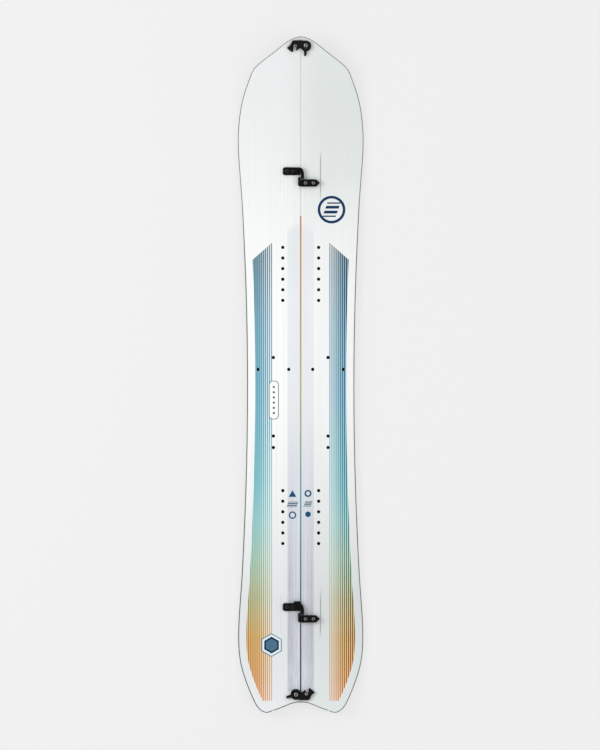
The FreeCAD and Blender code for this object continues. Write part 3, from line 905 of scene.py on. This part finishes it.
class Board:
    """The board's side view and rim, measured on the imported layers."""

    def __init__(self) -> None:
        """Reads the running surface's arcs and the rim from the lower glass layer."""
        glass = merged("right_lower_glass")
        self.seam = min(v.co.x for v in glass.verts)
        rim = [f for f in glass.faces if abs(f.normal.z) < 0.5
               and max(v.co.x for v in f.verts) > self.seam + 1e-5]
        walls = {v for f in rim for v in f.verts}
        under = sorted((v.co.y, v.co.z) for v in walls if self._below(v))
        self.rim = self._smooth([v.co for v in walls])
        glass.free()
        self.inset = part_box("right_lower_glass")[1].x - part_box("right_topsheet")[1].x
        self.tail_arc, self.camber_arc, self.nose_arc = (
            self._arc([p for p in under if low < p[0] < high]) for low, high in ARC_STRETCHES)
        self.joins = [self._join(arc) for arc in (self.tail_arc, self.nose_arc)]

    @staticmethod
    def _below(vertex: bmesh.types.BMVert) -> bool:
        """Whether a rim vertex is on the layer's lower side."""
        return any(face.normal.z < -0.7 for face in vertex.link_faces)

    @staticmethod
    def _arc(points: Sequence[Span]) -> Arc:
        """The circle through a stretch's ends and middle."""
        return Arc.through([points[0], points[len(points) // 2], points[-1]])

    def _join(self, arc: Arc) -> float:
        """Y of the place where an upturn meets the camber."""
        share = self.camber_arc.radius / (self.camber_arc.radius + arc.radius)
        return self.camber_arc.y + (arc.y - self.camber_arc.y) * share

    def _part(self, y: float) -> Arc:
        """The arc that the surface follows at y."""
        upper = self.nose_arc if y > self.joins[1] else self.camber_arc
        return self.tail_arc if y < self.joins[0] else upper

    def z(self, y: float, height: float) -> float:
        """Z at y of the surface that lies height above the base, in metres."""
        return self._part(y).height(y, height - BASE_THICKNESS)

    def tilt(self, y: float) -> float:
        """The surface's turn about X at y."""
        return self._part(y).tilt(y)

    @staticmethod
    def _smooth(corners: Sequence[Vector]) -> list[Vector]:
        """The rim as a smooth line from the tip to the notch, with closer points at its ends.

        Args:
            corners: The rim's vertices, in any order.

        Returns:
            The line in plan.
        """
        heart = 0.04
        closest = 0.0006
        flat = sorted((Vector((co.x, co.y)) for co in corners),
                      key=lambda p: (math.atan2(p.x - heart, p.y) + math.pi * 0.75) % math.tau)
        line = [flat[0]]
        for point in flat[1:]:
            if (point - line[-1]).length > closest:
                line.append(point)
        return resampled(line)

    def offset(self, distance: float) -> list[Vector]:
        """The rim, moved inwards.

        Args:
            distance: How far, in metres.

        Returns:
            A point for each point of the rim; the first and last stay at the seam.
        """
        moved = []
        last = len(self.rim) - 1
        for index, point in enumerate(self.rim):
            along = (self.rim[min(index + 1, last)] - self.rim[max(index - 1, 0)]).normalized()
            place = point + Vector((along.y, -along.x)) * distance
            if index in (0, last):
                place.x = self.seam
            moved.append(place)
        return moved


def resampled(line: Sequence[Vector]) -> list[Vector]:
    """Puts points along a smooth curve, closer together at the board's ends.

    Args:
        line: Points that the curve passes through.

    Returns:
        The new points.
    """
    lengths = [0.0]
    for before, after in zip(line, line[1:]):
        lengths.append(lengths[-1] + (after - before).length)
    points = []
    place = 0.0
    index = 0
    while place < lengths[-1]:
        while lengths[index + 1] < place:
            index += 1
        a, b = line[index], line[index + 1]
        before = line[index - 1] if index else a * 2 - b
        after = line[index + 2] if index + 2 < len(line) else b * 2 - a
        span = lengths[index + 1] - lengths[index]
        t = (place - lengths[index]) / span
        lead_in = (b - before) / ((a - before).length + span) * span
        lead_out = (after - a) / (span + (after - b).length) * span
        points.append(a * (2 * t ** 3 - 3 * t ** 2 + 1) + lead_in * (t ** 3 - 2 * t ** 2 + t)
                      + b * (3 * t ** 2 - 2 * t ** 3) + lead_out * (t ** 3 - t ** 2))
        place += SIDE_STEP if abs(points[-1].y) < SIDES_END else END_STEP
    points.append(line[-1].copy())
    return points


board = Board()


# ---------------------------------------------------------------- mesh helpers
def linked(name: str, data: bpy.types.ID) -> bpy.types.Object:
    """Puts a new object in the scene.

    Args:
        name: Its name.
        data: The mesh, lamp or camera that it shows.

    Returns:
        The object.
    """
    made = bpy.data.objects.new(name, data)
    bpy.context.scene.collection.objects.link(made)
    return made


def discard(thing: bpy.types.Object) -> None:
    """Removes an object and its mesh.

    Args:
        thing: The object.
    """
    mesh = thing.data
    bpy.data.objects.remove(thing)
    bpy.data.meshes.remove(mesh)


def coat(mesh: bpy.types.Mesh, material: bpy.types.Material) -> None:
    """Makes a material a mesh's only one."""
    mesh.materials.clear()
    mesh.materials.append(material)


def poured(name: str, shape: bmesh.types.BMesh) -> bpy.types.Mesh:
    """Turns a bmesh into a mesh.

    Args:
        name: The mesh's name.
        shape: The bmesh, which is freed.

    Returns:
        The mesh.
    """
    mesh = bpy.data.meshes.new(name)
    shape.to_mesh(mesh)
    shape.free()
    return mesh


def from_bmesh(name: str, shape: bmesh.types.BMesh, material: bpy.types.Material,
               sharp: float) -> bpy.types.Object:
    """Turns a bmesh into an object with smooth faces.

    Args:
        name: The object's name.
        shape: The bmesh, which is freed.
        material: The object's finish.
        sharp: The angle in degrees past which an edge stays sharp.

    Returns:
        The object.
    """
    for face in shape.faces:
        face.smooth = True
    for edge in shape.edges:
        edge.smooth = len(edge.link_faces) == 2 and edge.calc_face_angle(0.0) < math.radians(sharp)
    mesh = poured(name, shape)
    coat(mesh, material)
    return linked(name, mesh)


def baked(thing: bpy.types.Object) -> bpy.types.Object:
    """Applies an object's modifiers to its mesh.

    Args:
        thing: The object.

    Returns:
        The same object.
    """
    bpy.context.view_layer.update()
    graph = bpy.context.evaluated_depsgraph_get()
    mesh = bpy.data.meshes.new_from_object(thing.evaluated_get(graph))
    thing.modifiers.clear()
    old = thing.data
    thing.data = mesh
    mesh.name = thing.name
    bpy.data.meshes.remove(old)
    return thing


def settle(piece: bpy.types.Object, body: str, node: str) -> None:
    """Hands a finished piece over.

    Args:
        piece: The piece.
        body: The body that it rides on.
        node: The CAD node that it stands for.
    """
    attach(piece, body)
    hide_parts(node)
    log.info("%s rides on %s, %d faces", piece.name, body, len(piece.data.polygons))


def dress_node(node: str, finish: str) -> None:
    """Gives a CAD node that is kept its finish; its shape stays."""
    coat(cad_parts[node].data, MATERIALS[finish])
    log.info("%s keeps its shape and takes the %s finish", node, finish)


def turned_outwards(shape: bmesh.types.BMesh, side: Side) -> None:
    """Mirrors a right-half shape for the left half and turns its faces outwards.

    Args:
        shape: The shape.
        side: The half that it is for.
    """
    bmesh.ops.recalc_face_normals(shape, faces=shape.faces)
    if side is Side.LEFT:
        bmesh.ops.scale(shape, vec=(-1, 1, 1), verts=shape.verts)
        bmesh.ops.reverse_faces(shape, faces=shape.faces)
    bmesh.ops.recalc_face_normals(shape, faces=shape.faces)


@dataclass
class Seat:
    """Where a fastener's top is, and how far the surface there leans."""

    at: Vector
    lean: float


def seats(node: str, upright: bool) -> list[Seat]:
    """The top of each separate solid in a CAD node.

    Args:
        node: The node.
        upright: True for pieces that stand along Z, False for ones square to the surface.

    Returns:
        One seat for each solid, from the tail up.
    """
    flush = 2e-5
    shape = merged(node)
    todo = set(shape.verts)
    found = []
    while todo:
        island = {todo.pop()}
        edge = set(island)
        while edge:
            edge = {e.other_vert(v) for v in edge for e in v.link_edges} - island
            island |= edge
        todo -= island
        middle_y = sum(v.co.y for v in island) / len(island)
        lean = 0.0 if upright else board.tilt(middle_y)
        normal = Matrix.Rotation(lean, 3, "X") @ Vector((0, 0, 1))
        top = max(v.co.dot(normal) for v in island)
        ring = [v.co for v in island if top - v.co.dot(normal) < flush]
        found.append(Seat(sum(ring, Vector()) / len(ring), lean))
    shape.free()
    return sorted(found, key=lambda seat: seat.at.y)


# ---------------------------------------------------------------- repeated fasteners
@dataclass(frozen=True)
class Turned:
    """A turned template: rings of radius, height and whether the ring is a hexagon."""

    rings: Sequence[tuple[float, float, bool]]
    segments: int = 24
    sharp: float = 38.0

    @staticmethod
    def radius(wanted: float, angle: float, hexagon: bool) -> float:
        """A ring's radius at an angle; a hexagon's is measured to its flats."""
        half = math.pi / 6
        return wanted / math.cos((angle + half) % (2 * half) - half) if hexagon else wanted

    def mesh(self, name: str) -> bpy.types.Mesh:
        """The closed mesh, with its first and last rings capped.

        Args:
            name: The mesh's name.

        Returns:
            The mesh, with an attribute that is 1 down in its socket, where painted shade goes.
        """
        mouth = -0.1
        shape = bmesh.new()
        recess = shape.verts.layers.float.new("recess")
        angles = [math.tau * step / self.segments for step in range(self.segments)]
        loops = []
        for size, height, hexagon in self.rings:
            radii = [self.radius(size, angle, hexagon) * MM for angle in angles]
            loops.append([shape.verts.new((r * math.cos(a), r * math.sin(a), height * MM))
                          for r, a in zip(radii, angles)])
            for vertex in loops[-1]:
                vertex[recess] = float(hexagon and height < mouth)
        for first, second in zip(loops, loops[1:]):
            for index in range(self.segments):
                nxt = (index + 1) % self.segments
                shape.faces.new((first[index], first[nxt], second[nxt], second[index]))
        shape.faces.new(loops[0])
        shape.faces.new(loops[-1])
        bmesh.ops.recalc_face_normals(shape, faces=shape.faces)
        for face in shape.faces:
            face.smooth = len(face.verts) == 4
        for edge in shape.edges:
            edge.smooth = edge.calc_face_angle(0.0) < math.radians(self.sharp)
        return poured(name, shape)


def threaded_insert(outer: float = 3.95, bore: float = 2.5, depth: float = 4.6,
                    pitch: float = 1.0) -> Turned:
    """An insert whose bore has thread ridges; sizes are in millimetres.

    Args:
        outer: Its outer radius.
        bore: The radius of the thread's ridges.
        depth: How deep the thread goes.
        pitch: From ridge to ridge.

    Returns:
        The template, with its top at height 0.
    """
    lip = -0.25
    rings = [(outer, -depth - 0.6, False), (outer, lip, False), (outer - 0.25, 0.0, False),
             (bore + 0.75, 0.0, False), (bore + 0.5, lip, False)]
    height = lip
    while height > -depth:
        rings += [(bore, height - pitch * 0.45, False), (bore + 0.42, height - pitch, False)]
        height -= pitch
    return Turned(rings + [(bore * 0.9, height - 0.1, False)])


def button_screw(head: float, tall: float = 2.1, socket: float = 2.0, deep: float = 1.5,
                 shank: float = 2.4) -> Turned:
    """A button-headed screw with a hexagon socket; sizes are in millimetres.

    Args:
        head: The head's radius.
        tall: The head's height.
        socket: The socket's half width.
        deep: The socket's depth.
        shank: The shank's radius.

    Returns:
        The template, with its top at height 0.
    """
    plain = ((shank, -tall - SHANK_LENGTH), (shank, -tall), (head * 0.94, -tall),
             (head, -tall + 0.2), (head, -tall * 0.55), (head * 0.93, -tall * 0.25),
             (head * 0.78, -0.12), (head * 0.66, 0.0), (socket + 0.35, 0.0))
    hexagon = ((socket + 0.12, -0.05), (socket, -0.2), (socket, -deep),
               (socket * 0.4, -deep - 0.25))
    return Turned([(*ring, False) for ring in plain] + [(*ring, True) for ring in hexagon])


def flat_screw(head: float, cone: float = 1.9, socket: float = 2.0, deep: float = 1.5,
               shank: float = 2.4) -> Turned:
    """A countersunk screw with a hexagon socket; sizes are in millimetres.

    Args:
        head: The head's radius.
        cone: The head's height.
        socket: The socket's half width.
        deep: The socket's depth.
        shank: The shank's radius.

    Returns:
        The template, with its top at height 0.
    """
    plain = ((shank, -cone - SHANK_LENGTH), (shank, -cone), (head - 0.1, -0.25),
             (head - 0.1, -0.06), (head - 0.25, 0.0), (socket + 0.3, 0.0))
    hexagon = ((socket + 0.1, -0.05), (socket, -0.2), (socket, -deep),
               (socket * 0.4, -deep - 0.2))
    return Turned([(*ring, False) for ring in plain] + [(*ring, True) for ring in hexagon])


class Repeater:
    """A Geometry Nodes tree that puts a template on every point, leaning as the surface does."""

    def __init__(self) -> None:
        """Builds the tree with named inputs for the template, its size and its material."""
        self.tree = bpy.data.node_groups.new("Fasteners on their seats", "GeometryNodeTree")
        _, self.template, self.size, self.finish = (
            self.tree.interface.new_socket(
                name, in_out="INPUT", socket_type="NodeSocket" + kind).identifier
            for name, kind in (("Seats", "Geometry"), ("Template", "Object"),
                               ("Size", "Float"), ("Finish", "Material")))
        self.tree.interface.new_socket("Fasteners", in_out="OUTPUT",
                                       socket_type="NodeSocketGeometry")
        nodes = {key: self.tree.nodes.new(kind) for key, kind in (
            ("given", "NodeGroupInput"), ("info", "GeometryNodeObjectInfo"),
            ("lean", "GeometryNodeInputNamedAttribute"), ("turn", "FunctionNodeEulerToRotation"),
            ("place", "GeometryNodeInstanceOnPoints"), ("real", "GeometryNodeRealizeInstances"),
            ("coat", "GeometryNodeSetMaterial"), ("out", "NodeGroupOutput"))}
        nodes["lean"].data_type = "FLOAT_VECTOR"
        nodes["lean"].inputs["Name"].default_value = "lean"
        for start, output, end, socket in (
                ("given", "Template", "info", "Object"), ("given", "Seats", "place", "Points"),
                ("info", "Geometry", "place", "Instance"), ("lean", "Attribute", "turn", 0),
                ("turn", 0, "place", "Rotation"), ("given", "Size", "place", "Scale"),
                ("place", 0, "real", 0), ("real", 0, "coat", "Geometry"),
                ("given", "Finish", "coat", "Material"), ("coat", 0, "out", 0)):
            self.tree.links.new(nodes[start].outputs[output], nodes[end].inputs[socket])

    def on_seats(self, name: str, node: str, upright: bool, template: Turned,
                 finish: str) -> bpy.types.Object:
        """Copies a turned template to the top of every solid of a CAD node.

        Args:
            name: The new piece's name.
            node: The node.
            upright: Whether its solids stand along Z.
            template: What repeats.
            finish: Its finish.

        Returns:
            One plain mesh object that holds every copy.
        """
        found = seats(node, upright)
        holder = linked(name + "_template", template.mesh(name + "_turned"))
        mesh = bpy.data.meshes.new(name)
        mesh.from_pydata([tuple(seat.at) for seat in found], [], [])
        lean = mesh.attributes.new("lean", "FLOAT_VECTOR", "POINT")
        lean.data.foreach_set("vector", [part for seat in found for part in (seat.lean, 0, 0)])
        piece = linked(name, mesh)
        modifier = piece.modifiers.new("Repeat", "NODES")
        modifier.node_group = self.tree
        modifier[self.template] = holder
        modifier[self.size] = 1.0
        modifier[self.finish] = MATERIALS[finish]
        baked(piece)
        discard(holder)
        if "lean" in piece.data.attributes:
            piece.data.attributes.remove(piece.data.attributes["lean"])
        return piece


repeater = Repeater()
MATERIALS = {name: finish.material("splitboard_" + name) for name, finish in FINISHES.items()}


# ---------------------------------------------------------------- the two halves
@dataclass
class HalfBoard:
    """One ski: printed topsheet, bevelled sidewall, inserts, and the layers that the frame gives.

    Sizes are in millimetres. Pairs in rounding are inset and drop, in bevel inset and height.
    """

    side: Side
    rounding: tuple[Span, ...] = ((1.3, 0.0), (0.7, 0.05), (0.3, 0.16), (0.08, 0.32), (0.0, 0.5))
    seam_drops: tuple[float, ...] = (0.3, 0.12, 0.02)
    seam_gap: float = 0.1
    plateau: float = 1.0
    plateau_half: float = 46.8
    plateau_soft: float = 0.7
    plateau_fade: float = 14.0
    seat_half: float = 62.0
    seat_shift: float = 11.0
    hole: float = 4.05
    drill_length: float = 8.0
    columns: tuple[float, ...] = (0.0, 0.12, 0.4, 1.0, 6, 12, 18, 24, 30, 36, 42, 44.6, 45.3,
                                  45.9, 46.5, 47.2, 54, 62, 70, 78)
    inner_columns: tuple[float, ...] = (38, 30, 24, 20, 16, 12, 8, 5, 2.5, 1.0, 0.0)
    wide: float = 122.0
    fan_from: float = -660.0
    wall_depth: float = 8.0
    bevel: tuple[Span, ...] = ((0.75, 4.6), (0.22, 3.1), (0.05, 2.7), (0.0, 2.4))

    def __post_init__(self) -> None:
        """Finds the middles of the raised clip seats from the clips' hooks."""
        boxes = [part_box(clip + "_clip_hook") for clip in ("front", "rear")]
        self.seat_middles = [(low.y + high.y) / 2 + self.seat_shift * MM for low, high in boxes]

    @property
    def body(self) -> str:
        """The rigid body that this half is."""
        return self.side.word + "_half"

    def node(self, ending: str) -> str:
        """A CAD node of this half."""
        return self.side.word + "_" + ending

    def plateau_lift(self, x: float, y: float) -> float:
        """How far the raised clip seats lift the topsheet.

        Args:
            x: Distance from the seam, in metres.
            y: Along the board, in metres.

        Returns:
            The lift in metres.
        """
        nearest = min(abs(y - middle) for middle in self.seat_middles)
        along = (self.seat_half * MM - nearest) / (self.plateau_fade * MM)
        across = (self.plateau_half * MM - x) / (self.plateau_soft * MM) + 0.5
        shares = (min(max(share, 0.0), 1.0) for share in (along, across))
        return math.prod(s * s * (3 - 2 * s) for s in shares) * self.plateau * MM

    def rows(self) -> list[list[Vector]]:
        """The topsheet's grid in plan.

        Returns:
            For each rim point a row from the seam to the rim's rounding.
        """
        rim = board.offset(board.inset + self.rounding[0][0] * MM)
        start = next(i for i, point in enumerate(rim) if point.y < self.fan_from * MM)
        gap = self.seam_gap / 2 * MM
        grid = []
        for index, point in enumerate(rim):
            seam_y = point.y
            if index > start:
                share = (index - start) / (len(rim) - 1 - start)
                seam_y = rim[start].y + (rim[-1].y - rim[start].y) * share
            width = point.x - gap
            squeeze = min(width / (self.wide * MM), 1.0)
            spots = [value * MM * squeeze for value in self.columns]
            spots += [width - value * MM * squeeze for value in self.inner_columns]
            foot = Vector((gap, seam_y))
            grid.append([foot + (point - foot) * (spot / width if width > 1e-6 else 0)
                         for spot in spots])
        return grid

    def topsheet(self) -> None:
        """Builds the printed topsheet as a closed sheet with its holes."""
        shape = bmesh.new()
        rims = [board.offset(board.inset + inset * MM) for inset, _ in self.rounding[1:]]
        rows = self.rows()
        seam_drops = [*self.seam_drops, *(0.0 for _ in rows[0][len(self.seam_drops):])]
        upper, lower = [], []
        for index, row in enumerate(rows):
            line = []
            for drop, place in zip(seam_drops, row):
                z = board.z(place.y, TOP_HEIGHT - drop * MM) + self.plateau_lift(place.x, place.y)
                line.append(shape.verts.new((place.x, place.y, z)))
            for rim, (_, drop) in zip(rims, self.rounding[1:]):
                x, y = rim[index]
                line.append(shape.verts.new((x, y, board.z(y, TOP_HEIGHT - drop * MM))))
            upper.append(line)
            under = [shape.verts.new((v.co.x, v.co.y,
                                      board.z(v.co.y, TOP_HEIGHT - TOPSHEET_THICKNESS)))
                     for v in line[:-1]]
            lower.append([*under, line[-1]])
        for grid, step in ((upper, 1), (lower, -1)):
            for first, second in zip(grid, grid[1:]):
                for column in range(len(first) - 1):
                    corners = (first[column], second[column], second[column + 1],
                               first[column + 1])
                    shape.faces.new(corners[::step])
        for first, second, under, next_under in zip(upper, upper[1:], lower, lower[1:]):
            shape.faces.new((first[0], under[0], next_under[0], second[0]))
        bmesh.ops.remove_doubles(shape, verts=shape.verts, dist=2e-6)
        bmesh.ops.dissolve_degenerate(shape, edges=shape.edges, dist=1e-6)
        bmesh.ops.holes_fill(shape, edges=[e for e in shape.edges if e.is_boundary], sides=0)
        turned_outwards(shape, self.side)
        name = self.node("printed_topsheet")
        piece = from_bmesh(name, shape, PrintedTopsheet(self.side).material(name), 50)
        self.drill(piece)
        self.measure_rim(piece)
        settle(piece, self.body, self.node("topsheet"))

    def drill(self, piece: bpy.types.Object) -> None:
        """Cuts the inserts' holes.

        Args:
            piece: The topsheet.
        """
        cutter = bmesh.new()
        for kind, upright in INSERT_STANDS.items():
            for seat in seats(self.node(kind + "_inserts"), upright):
                lean = Matrix.Translation(seat.at) @ Matrix.Rotation(seat.lean, 4, "X")
                bmesh.ops.create_cone(cutter, cap_ends=True, segments=32,
                                      radius1=self.hole * MM, radius2=self.hole * MM,
                                      depth=self.drill_length * MM, matrix=lean)
        drill = linked("drill", poured("drill", cutter))
        modifier = piece.modifiers.new("Holes", "BOOLEAN")
        modifier.object = drill
        modifier.operation = "DIFFERENCE"
        modifier.solver = "MANIFOLD"
        baked(piece)
        discard(drill)

    def measure_rim(self, piece: bpy.types.Object) -> None:
        """Writes each vertex's distance from the rim, in millimetres, for the printed stripes.

        Args:
            piece: The topsheet.
        """
        at_once = 2000
        rim = np.array([tuple(point) for point in board.rim])
        starts = rim[:-1]
        spans = rim[1:] - starts
        flat = np.array([(abs(v.co.x), v.co.y) for v in piece.data.vertices])
        inset = np.empty(len(flat))
        for begin in range(0, len(flat), at_once):
            block = flat[begin:begin + at_once, None, :]
            share = ((block - starts) * spans).sum(-1) / (spans ** 2).sum(-1)
            nearest = starts + np.clip(share, 0, 1)[..., None] * spans
            inset[begin:begin + at_once] = np.sqrt(((block - nearest) ** 2).sum(-1)).min(1)
        attribute = piece.data.attributes.new("rim_inset", "FLOAT", "POINT")
        attribute.data.foreach_set("value", (inset / MM).astype(np.float32))

    def sidewall(self) -> None:
        """Builds the sidewall with the bevel that runs up to the topsheet."""
        top = board.inset / MM
        rings = [(self.wall_depth, SIDEWALL_HIGH), (top, SIDEWALL_HIGH),
                 (top - 0.08, SIDEWALL_HIGH - 0.3 * MM),
                 *((inset, height * MM) for inset, height in self.bevel),
                 (0.0, SIDEWALL_LOW), (self.wall_depth, SIDEWALL_LOW)]
        shape = bmesh.new()
        made = [[shape.verts.new((p.x, p.y, board.z(p.y, height)))
                 for p in board.offset(inset * MM)] for inset, height in rings]
        for first, second in zip(made, made[1:] + made[:1]):
            for index in range(len(first) - 1):
                shape.faces.new((first[index], first[index + 1], second[index + 1],
                                 second[index]))
        for end in (0, -1):
            shape.faces.new([ring[end] for ring in made])
        turned_outwards(shape, self.side)
        piece = from_bmesh(self.node("bevelled_sidewall"), shape, MATERIALS["sidewall"], 45)
        settle(piece, self.body, self.node("outer_sidewall"))

    def inserts(self) -> None:
        """Builds the threaded inserts, one piece for each CAD node."""
        for kind, upright in INSERT_STANDS.items():
            node = self.node(kind + "_inserts")
            piece = repeater.on_seats(self.node(kind + "_threads"), node, upright,
                                      threaded_insert(), "insert")
            settle(piece, self.body, node)

    def layers(self) -> None:
        """Gives every layer that stays as the frame made it its own finish."""
        for ending, finish in (("base_sheet", "base_sheet"), ("outer_edge", "edge"),
                               ("inner_edge", "edge"), ("tail_edge", "edge"),
                               ("lower_glass", "glass"), ("upper_glass", "glass"),
                               ("core", "core"), ("nose_spacer", "spacer"),
                               ("tail_spacer", "spacer"), ("inner_sidewall", "sidewall")):
            dress_node(self.node(ending), finish)

    def build(self) -> None:
        """Builds this half."""
        self.topsheet()
        self.sidewall()
        self.inserts()
        self.layers()


# ---------------------------------------------------------------- the clips
def machined(name: str, node: str, finish: str, bevel: float,
             pocket: Span | None = None) -> bpy.types.Object:
    """A clip piece: the frame's shape with broken edges and, if asked for, a pocketed top.

    Args:
        name: The new piece's name.
        node: The CAD node that it stands for.
        finish: Its finish.
        bevel: How far edges are broken, in millimetres.
        pocket: Rim width and depth of a shallow pocket in the top, in millimetres.

    Returns:
        The piece, not yet riding on a body.
    """
    shape = merged(node)
    bmesh.ops.dissolve_limit(shape, angle_limit=math.radians(0.6), verts=shape.verts,
                             edges=shape.edges)
    if pocket:
        flush, draft = 2e-4, 0.25 * MM
        low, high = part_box(node)
        lean = board.tilt((low.y + high.y) / 2)
        up = Matrix.Rotation(lean, 3, "X") @ Vector((0, 0, 1))
        top = max(face.calc_center_median().dot(up) for face in shape.faces)
        faces = [f for f in shape.faces if f.normal.dot(up) > 0.98
                 and top - f.calc_center_median().dot(up) < flush]
        rim, depth = pocket
        for thickness, drop in ((rim * MM, 0.0), (draft, -depth * MM)):
            bmesh.ops.inset_region(shape, faces=faces, thickness=thickness, depth=drop,
                                   use_even_offset=False)
    piece = from_bmesh(name, shape, MATERIALS[finish], 25)
    modifier = piece.modifiers.new("Broken edges", "BEVEL")
    modifier.width = bevel * MM
    modifier.segments = 3
    modifier.limit_method = "ANGLE"
    modifier.angle_limit = math.radians(40)
    modifier.use_clamp_overlap = True
    modifier.harden_normals = False
    return baked(piece)


@dataclass
class HookClip:
    """The hook clip at one end: a turning arm on one half and a catch post on the other."""

    name: str
    pivot_body: str
    catch_body: str
    arm_body: str
    pivot_head: float = 4.3
    post_head: float = 3.3

    def build(self) -> None:
        """Builds the clip's seven pieces."""
        for ending, body, finish, slot, bevel in (
                ("arm", self.arm_body, "anodised", "black_hardware", 0.6),
                ("pad", self.pivot_body, "pad", "black_plastic", 0.2),
                ("bush", self.pivot_body, "worn", "bright_steel", 0.15),
                ("spring_washer", self.pivot_body, "worn", "bright_steel", 0.12),
                ("post", self.catch_body, "stainless", "bright_steel", 0.25)):
            node = self.name + "_" + ending
            settle(machined(node + "_turned", node, finish, bevel), body, node)
        for ending, body, head in (("screw", self.pivot_body, self.pivot_head),
                                   ("post_screw", self.catch_body, self.post_head)):
            node = self.name + "_" + ending
            piece = repeater.on_seats(node + "_button_head", node, False, button_screw(head),
                                      "stainless")
            settle(piece, body, node)


@dataclass
class LeverClip:
    """The clip between foot and end: a lever that swings on the left half, a hook on the right."""

    name: str
    lever_body: str
    pocket: Span = (1.3, 0.3)
    screw_head: float = 3.9

    def build(self) -> None:
        """Builds the clip's six pieces."""
        for ending, body, finish, slot, bevel, pocket in (
                ("plate", "left_half", "anodised", "black_hardware", 0.4, None),
                ("lever", self.lever_body, "anodised", "black_hardware", 0.5, self.pocket),
                ("hook", "right_half", "anodised", "black_hardware", 0.6, None),
                ("pin", "left_half", "blackened", "black_steel", 0.3, None)):
            node = self.name + "_" + ending
            settle(machined(node + "_machined", node, finish, bevel, pocket), body, node)
        for ending, body, template, finish in (
                ("plate_screws", "left_half", flat_screw(self.screw_head), "oxidised"),
                ("hook_screws", "right_half", button_screw(self.screw_head), "stainless")):
            node = self.name + "_" + ending
            piece = repeater.on_seats(node + "_row", node, False, template, finish)
            settle(piece, body, node)


# ---------------------------------------------------------------- the studio
@dataclass
class Studio:
    """A light table, soft light from the sides and a camera far above that looks straight down."""

    picture: float = 1.8
    lens: float = 240.0
    sensor: float = 36.0
    aim: Span = (-0.0017, 0.0002)
    table: float = 0.87
    table_half: float = 12.0
    table_top: float = -0.5
    glow: float = 0.8
    sides: float = 0.95
    ceiling: float = 0.16
    box_size: float = 1.8
    key: tuple[Triple, float] = ((-3.4, 0.8, 2.2), 72.0)
    fill: tuple[Triple, float] = ((3.6, -0.8, 2.4), 26.0)

    def floor(self) -> None:
        """Lays the lit table that the board rests on."""
        mesh = bpy.data.meshes.new("studio_floor")
        half, top = self.table_half, self.table_top * MM
        mesh.from_pydata([(-half, -half, top), (half, -half, top), (half, half, top),
                          (-half, half, top)], [], [(0, 1, 2, 3)])
        paint = Paint("studio_light_table")
        own, lit = self.table * (1 - self.glow), self.table * self.glow
        paint.fill(Base_Color=(own, own, own, 1.0), Roughness=1.0, Specular_IOR_Level=0.0,
                   Emission_Color=(lit, lit, lit, 1.0), Emission_Strength=1.0)
        coat(mesh, paint.material)
        linked("studio_floor", mesh)

    def light(self) -> None:
        """Hangs a soft box on each side; the room is bright around and dim right above."""
        world = bpy.data.worlds.new("studio_room")
        bpy.context.scene.world = world
        world.use_nodes = True
        room = Nodes(world.node_tree, "ShaderNodeBackground", "ShaderNodeOutputWorld")
        height = room.axes("Generated")[2]
        above = (self.ceiling, self.ceiling, self.ceiling, 1.0)
        room.fill(Color=room.mix(height.rise(0.78, 0.95), ink(255, 255, 255), above),
                  Strength=self.sides)
        for name, (place, power) in (("key_box", self.key), ("fill_box", self.fill)):
            lamp = bpy.data.lights.new(name, "AREA")
            lamp.size = self.box_size
            lamp.energy = power
            made = linked(name, lamp)
            made.location = place
            made.rotation_euler = (-Vector(place)).to_track_quat("-Z", "Y").to_euler()

    def camera(self) -> None:
        """Hangs the camera over the middle of the board, nose up in the picture."""
        lens = bpy.data.cameras.new("camera")
        lens.lens = self.lens
        lens.sensor_width = self.sensor
        made = linked("camera", lens)
        made.location = (*self.aim, TOP_HEIGHT + self.picture * self.lens / self.sensor)
        bpy.context.scene.camera = made

    def build(self) -> None:
        """Builds the studio."""
        bpy.context.scene.view_settings.view_transform = "Standard"
        self.floor()
        self.light()
        self.camera()


def main() -> None:
    """Builds the studio, both halves and the four clips."""
    logging.basicConfig(level=logging.INFO, format="%(message)s")
    Studio().build()
    for side in Side:
        HalfBoard(side).build()
    HookClip("nose_clip", "right_half", "left_half", "nose_hook").build()
    HookClip("tail_clip", "left_half", "right_half", "tail_hook").build()
    LeverClip("front_clip", "front_lever").build()
    LeverClip("rear_clip", "rear_lever").build()


if __name__ == "__main__":
    main()
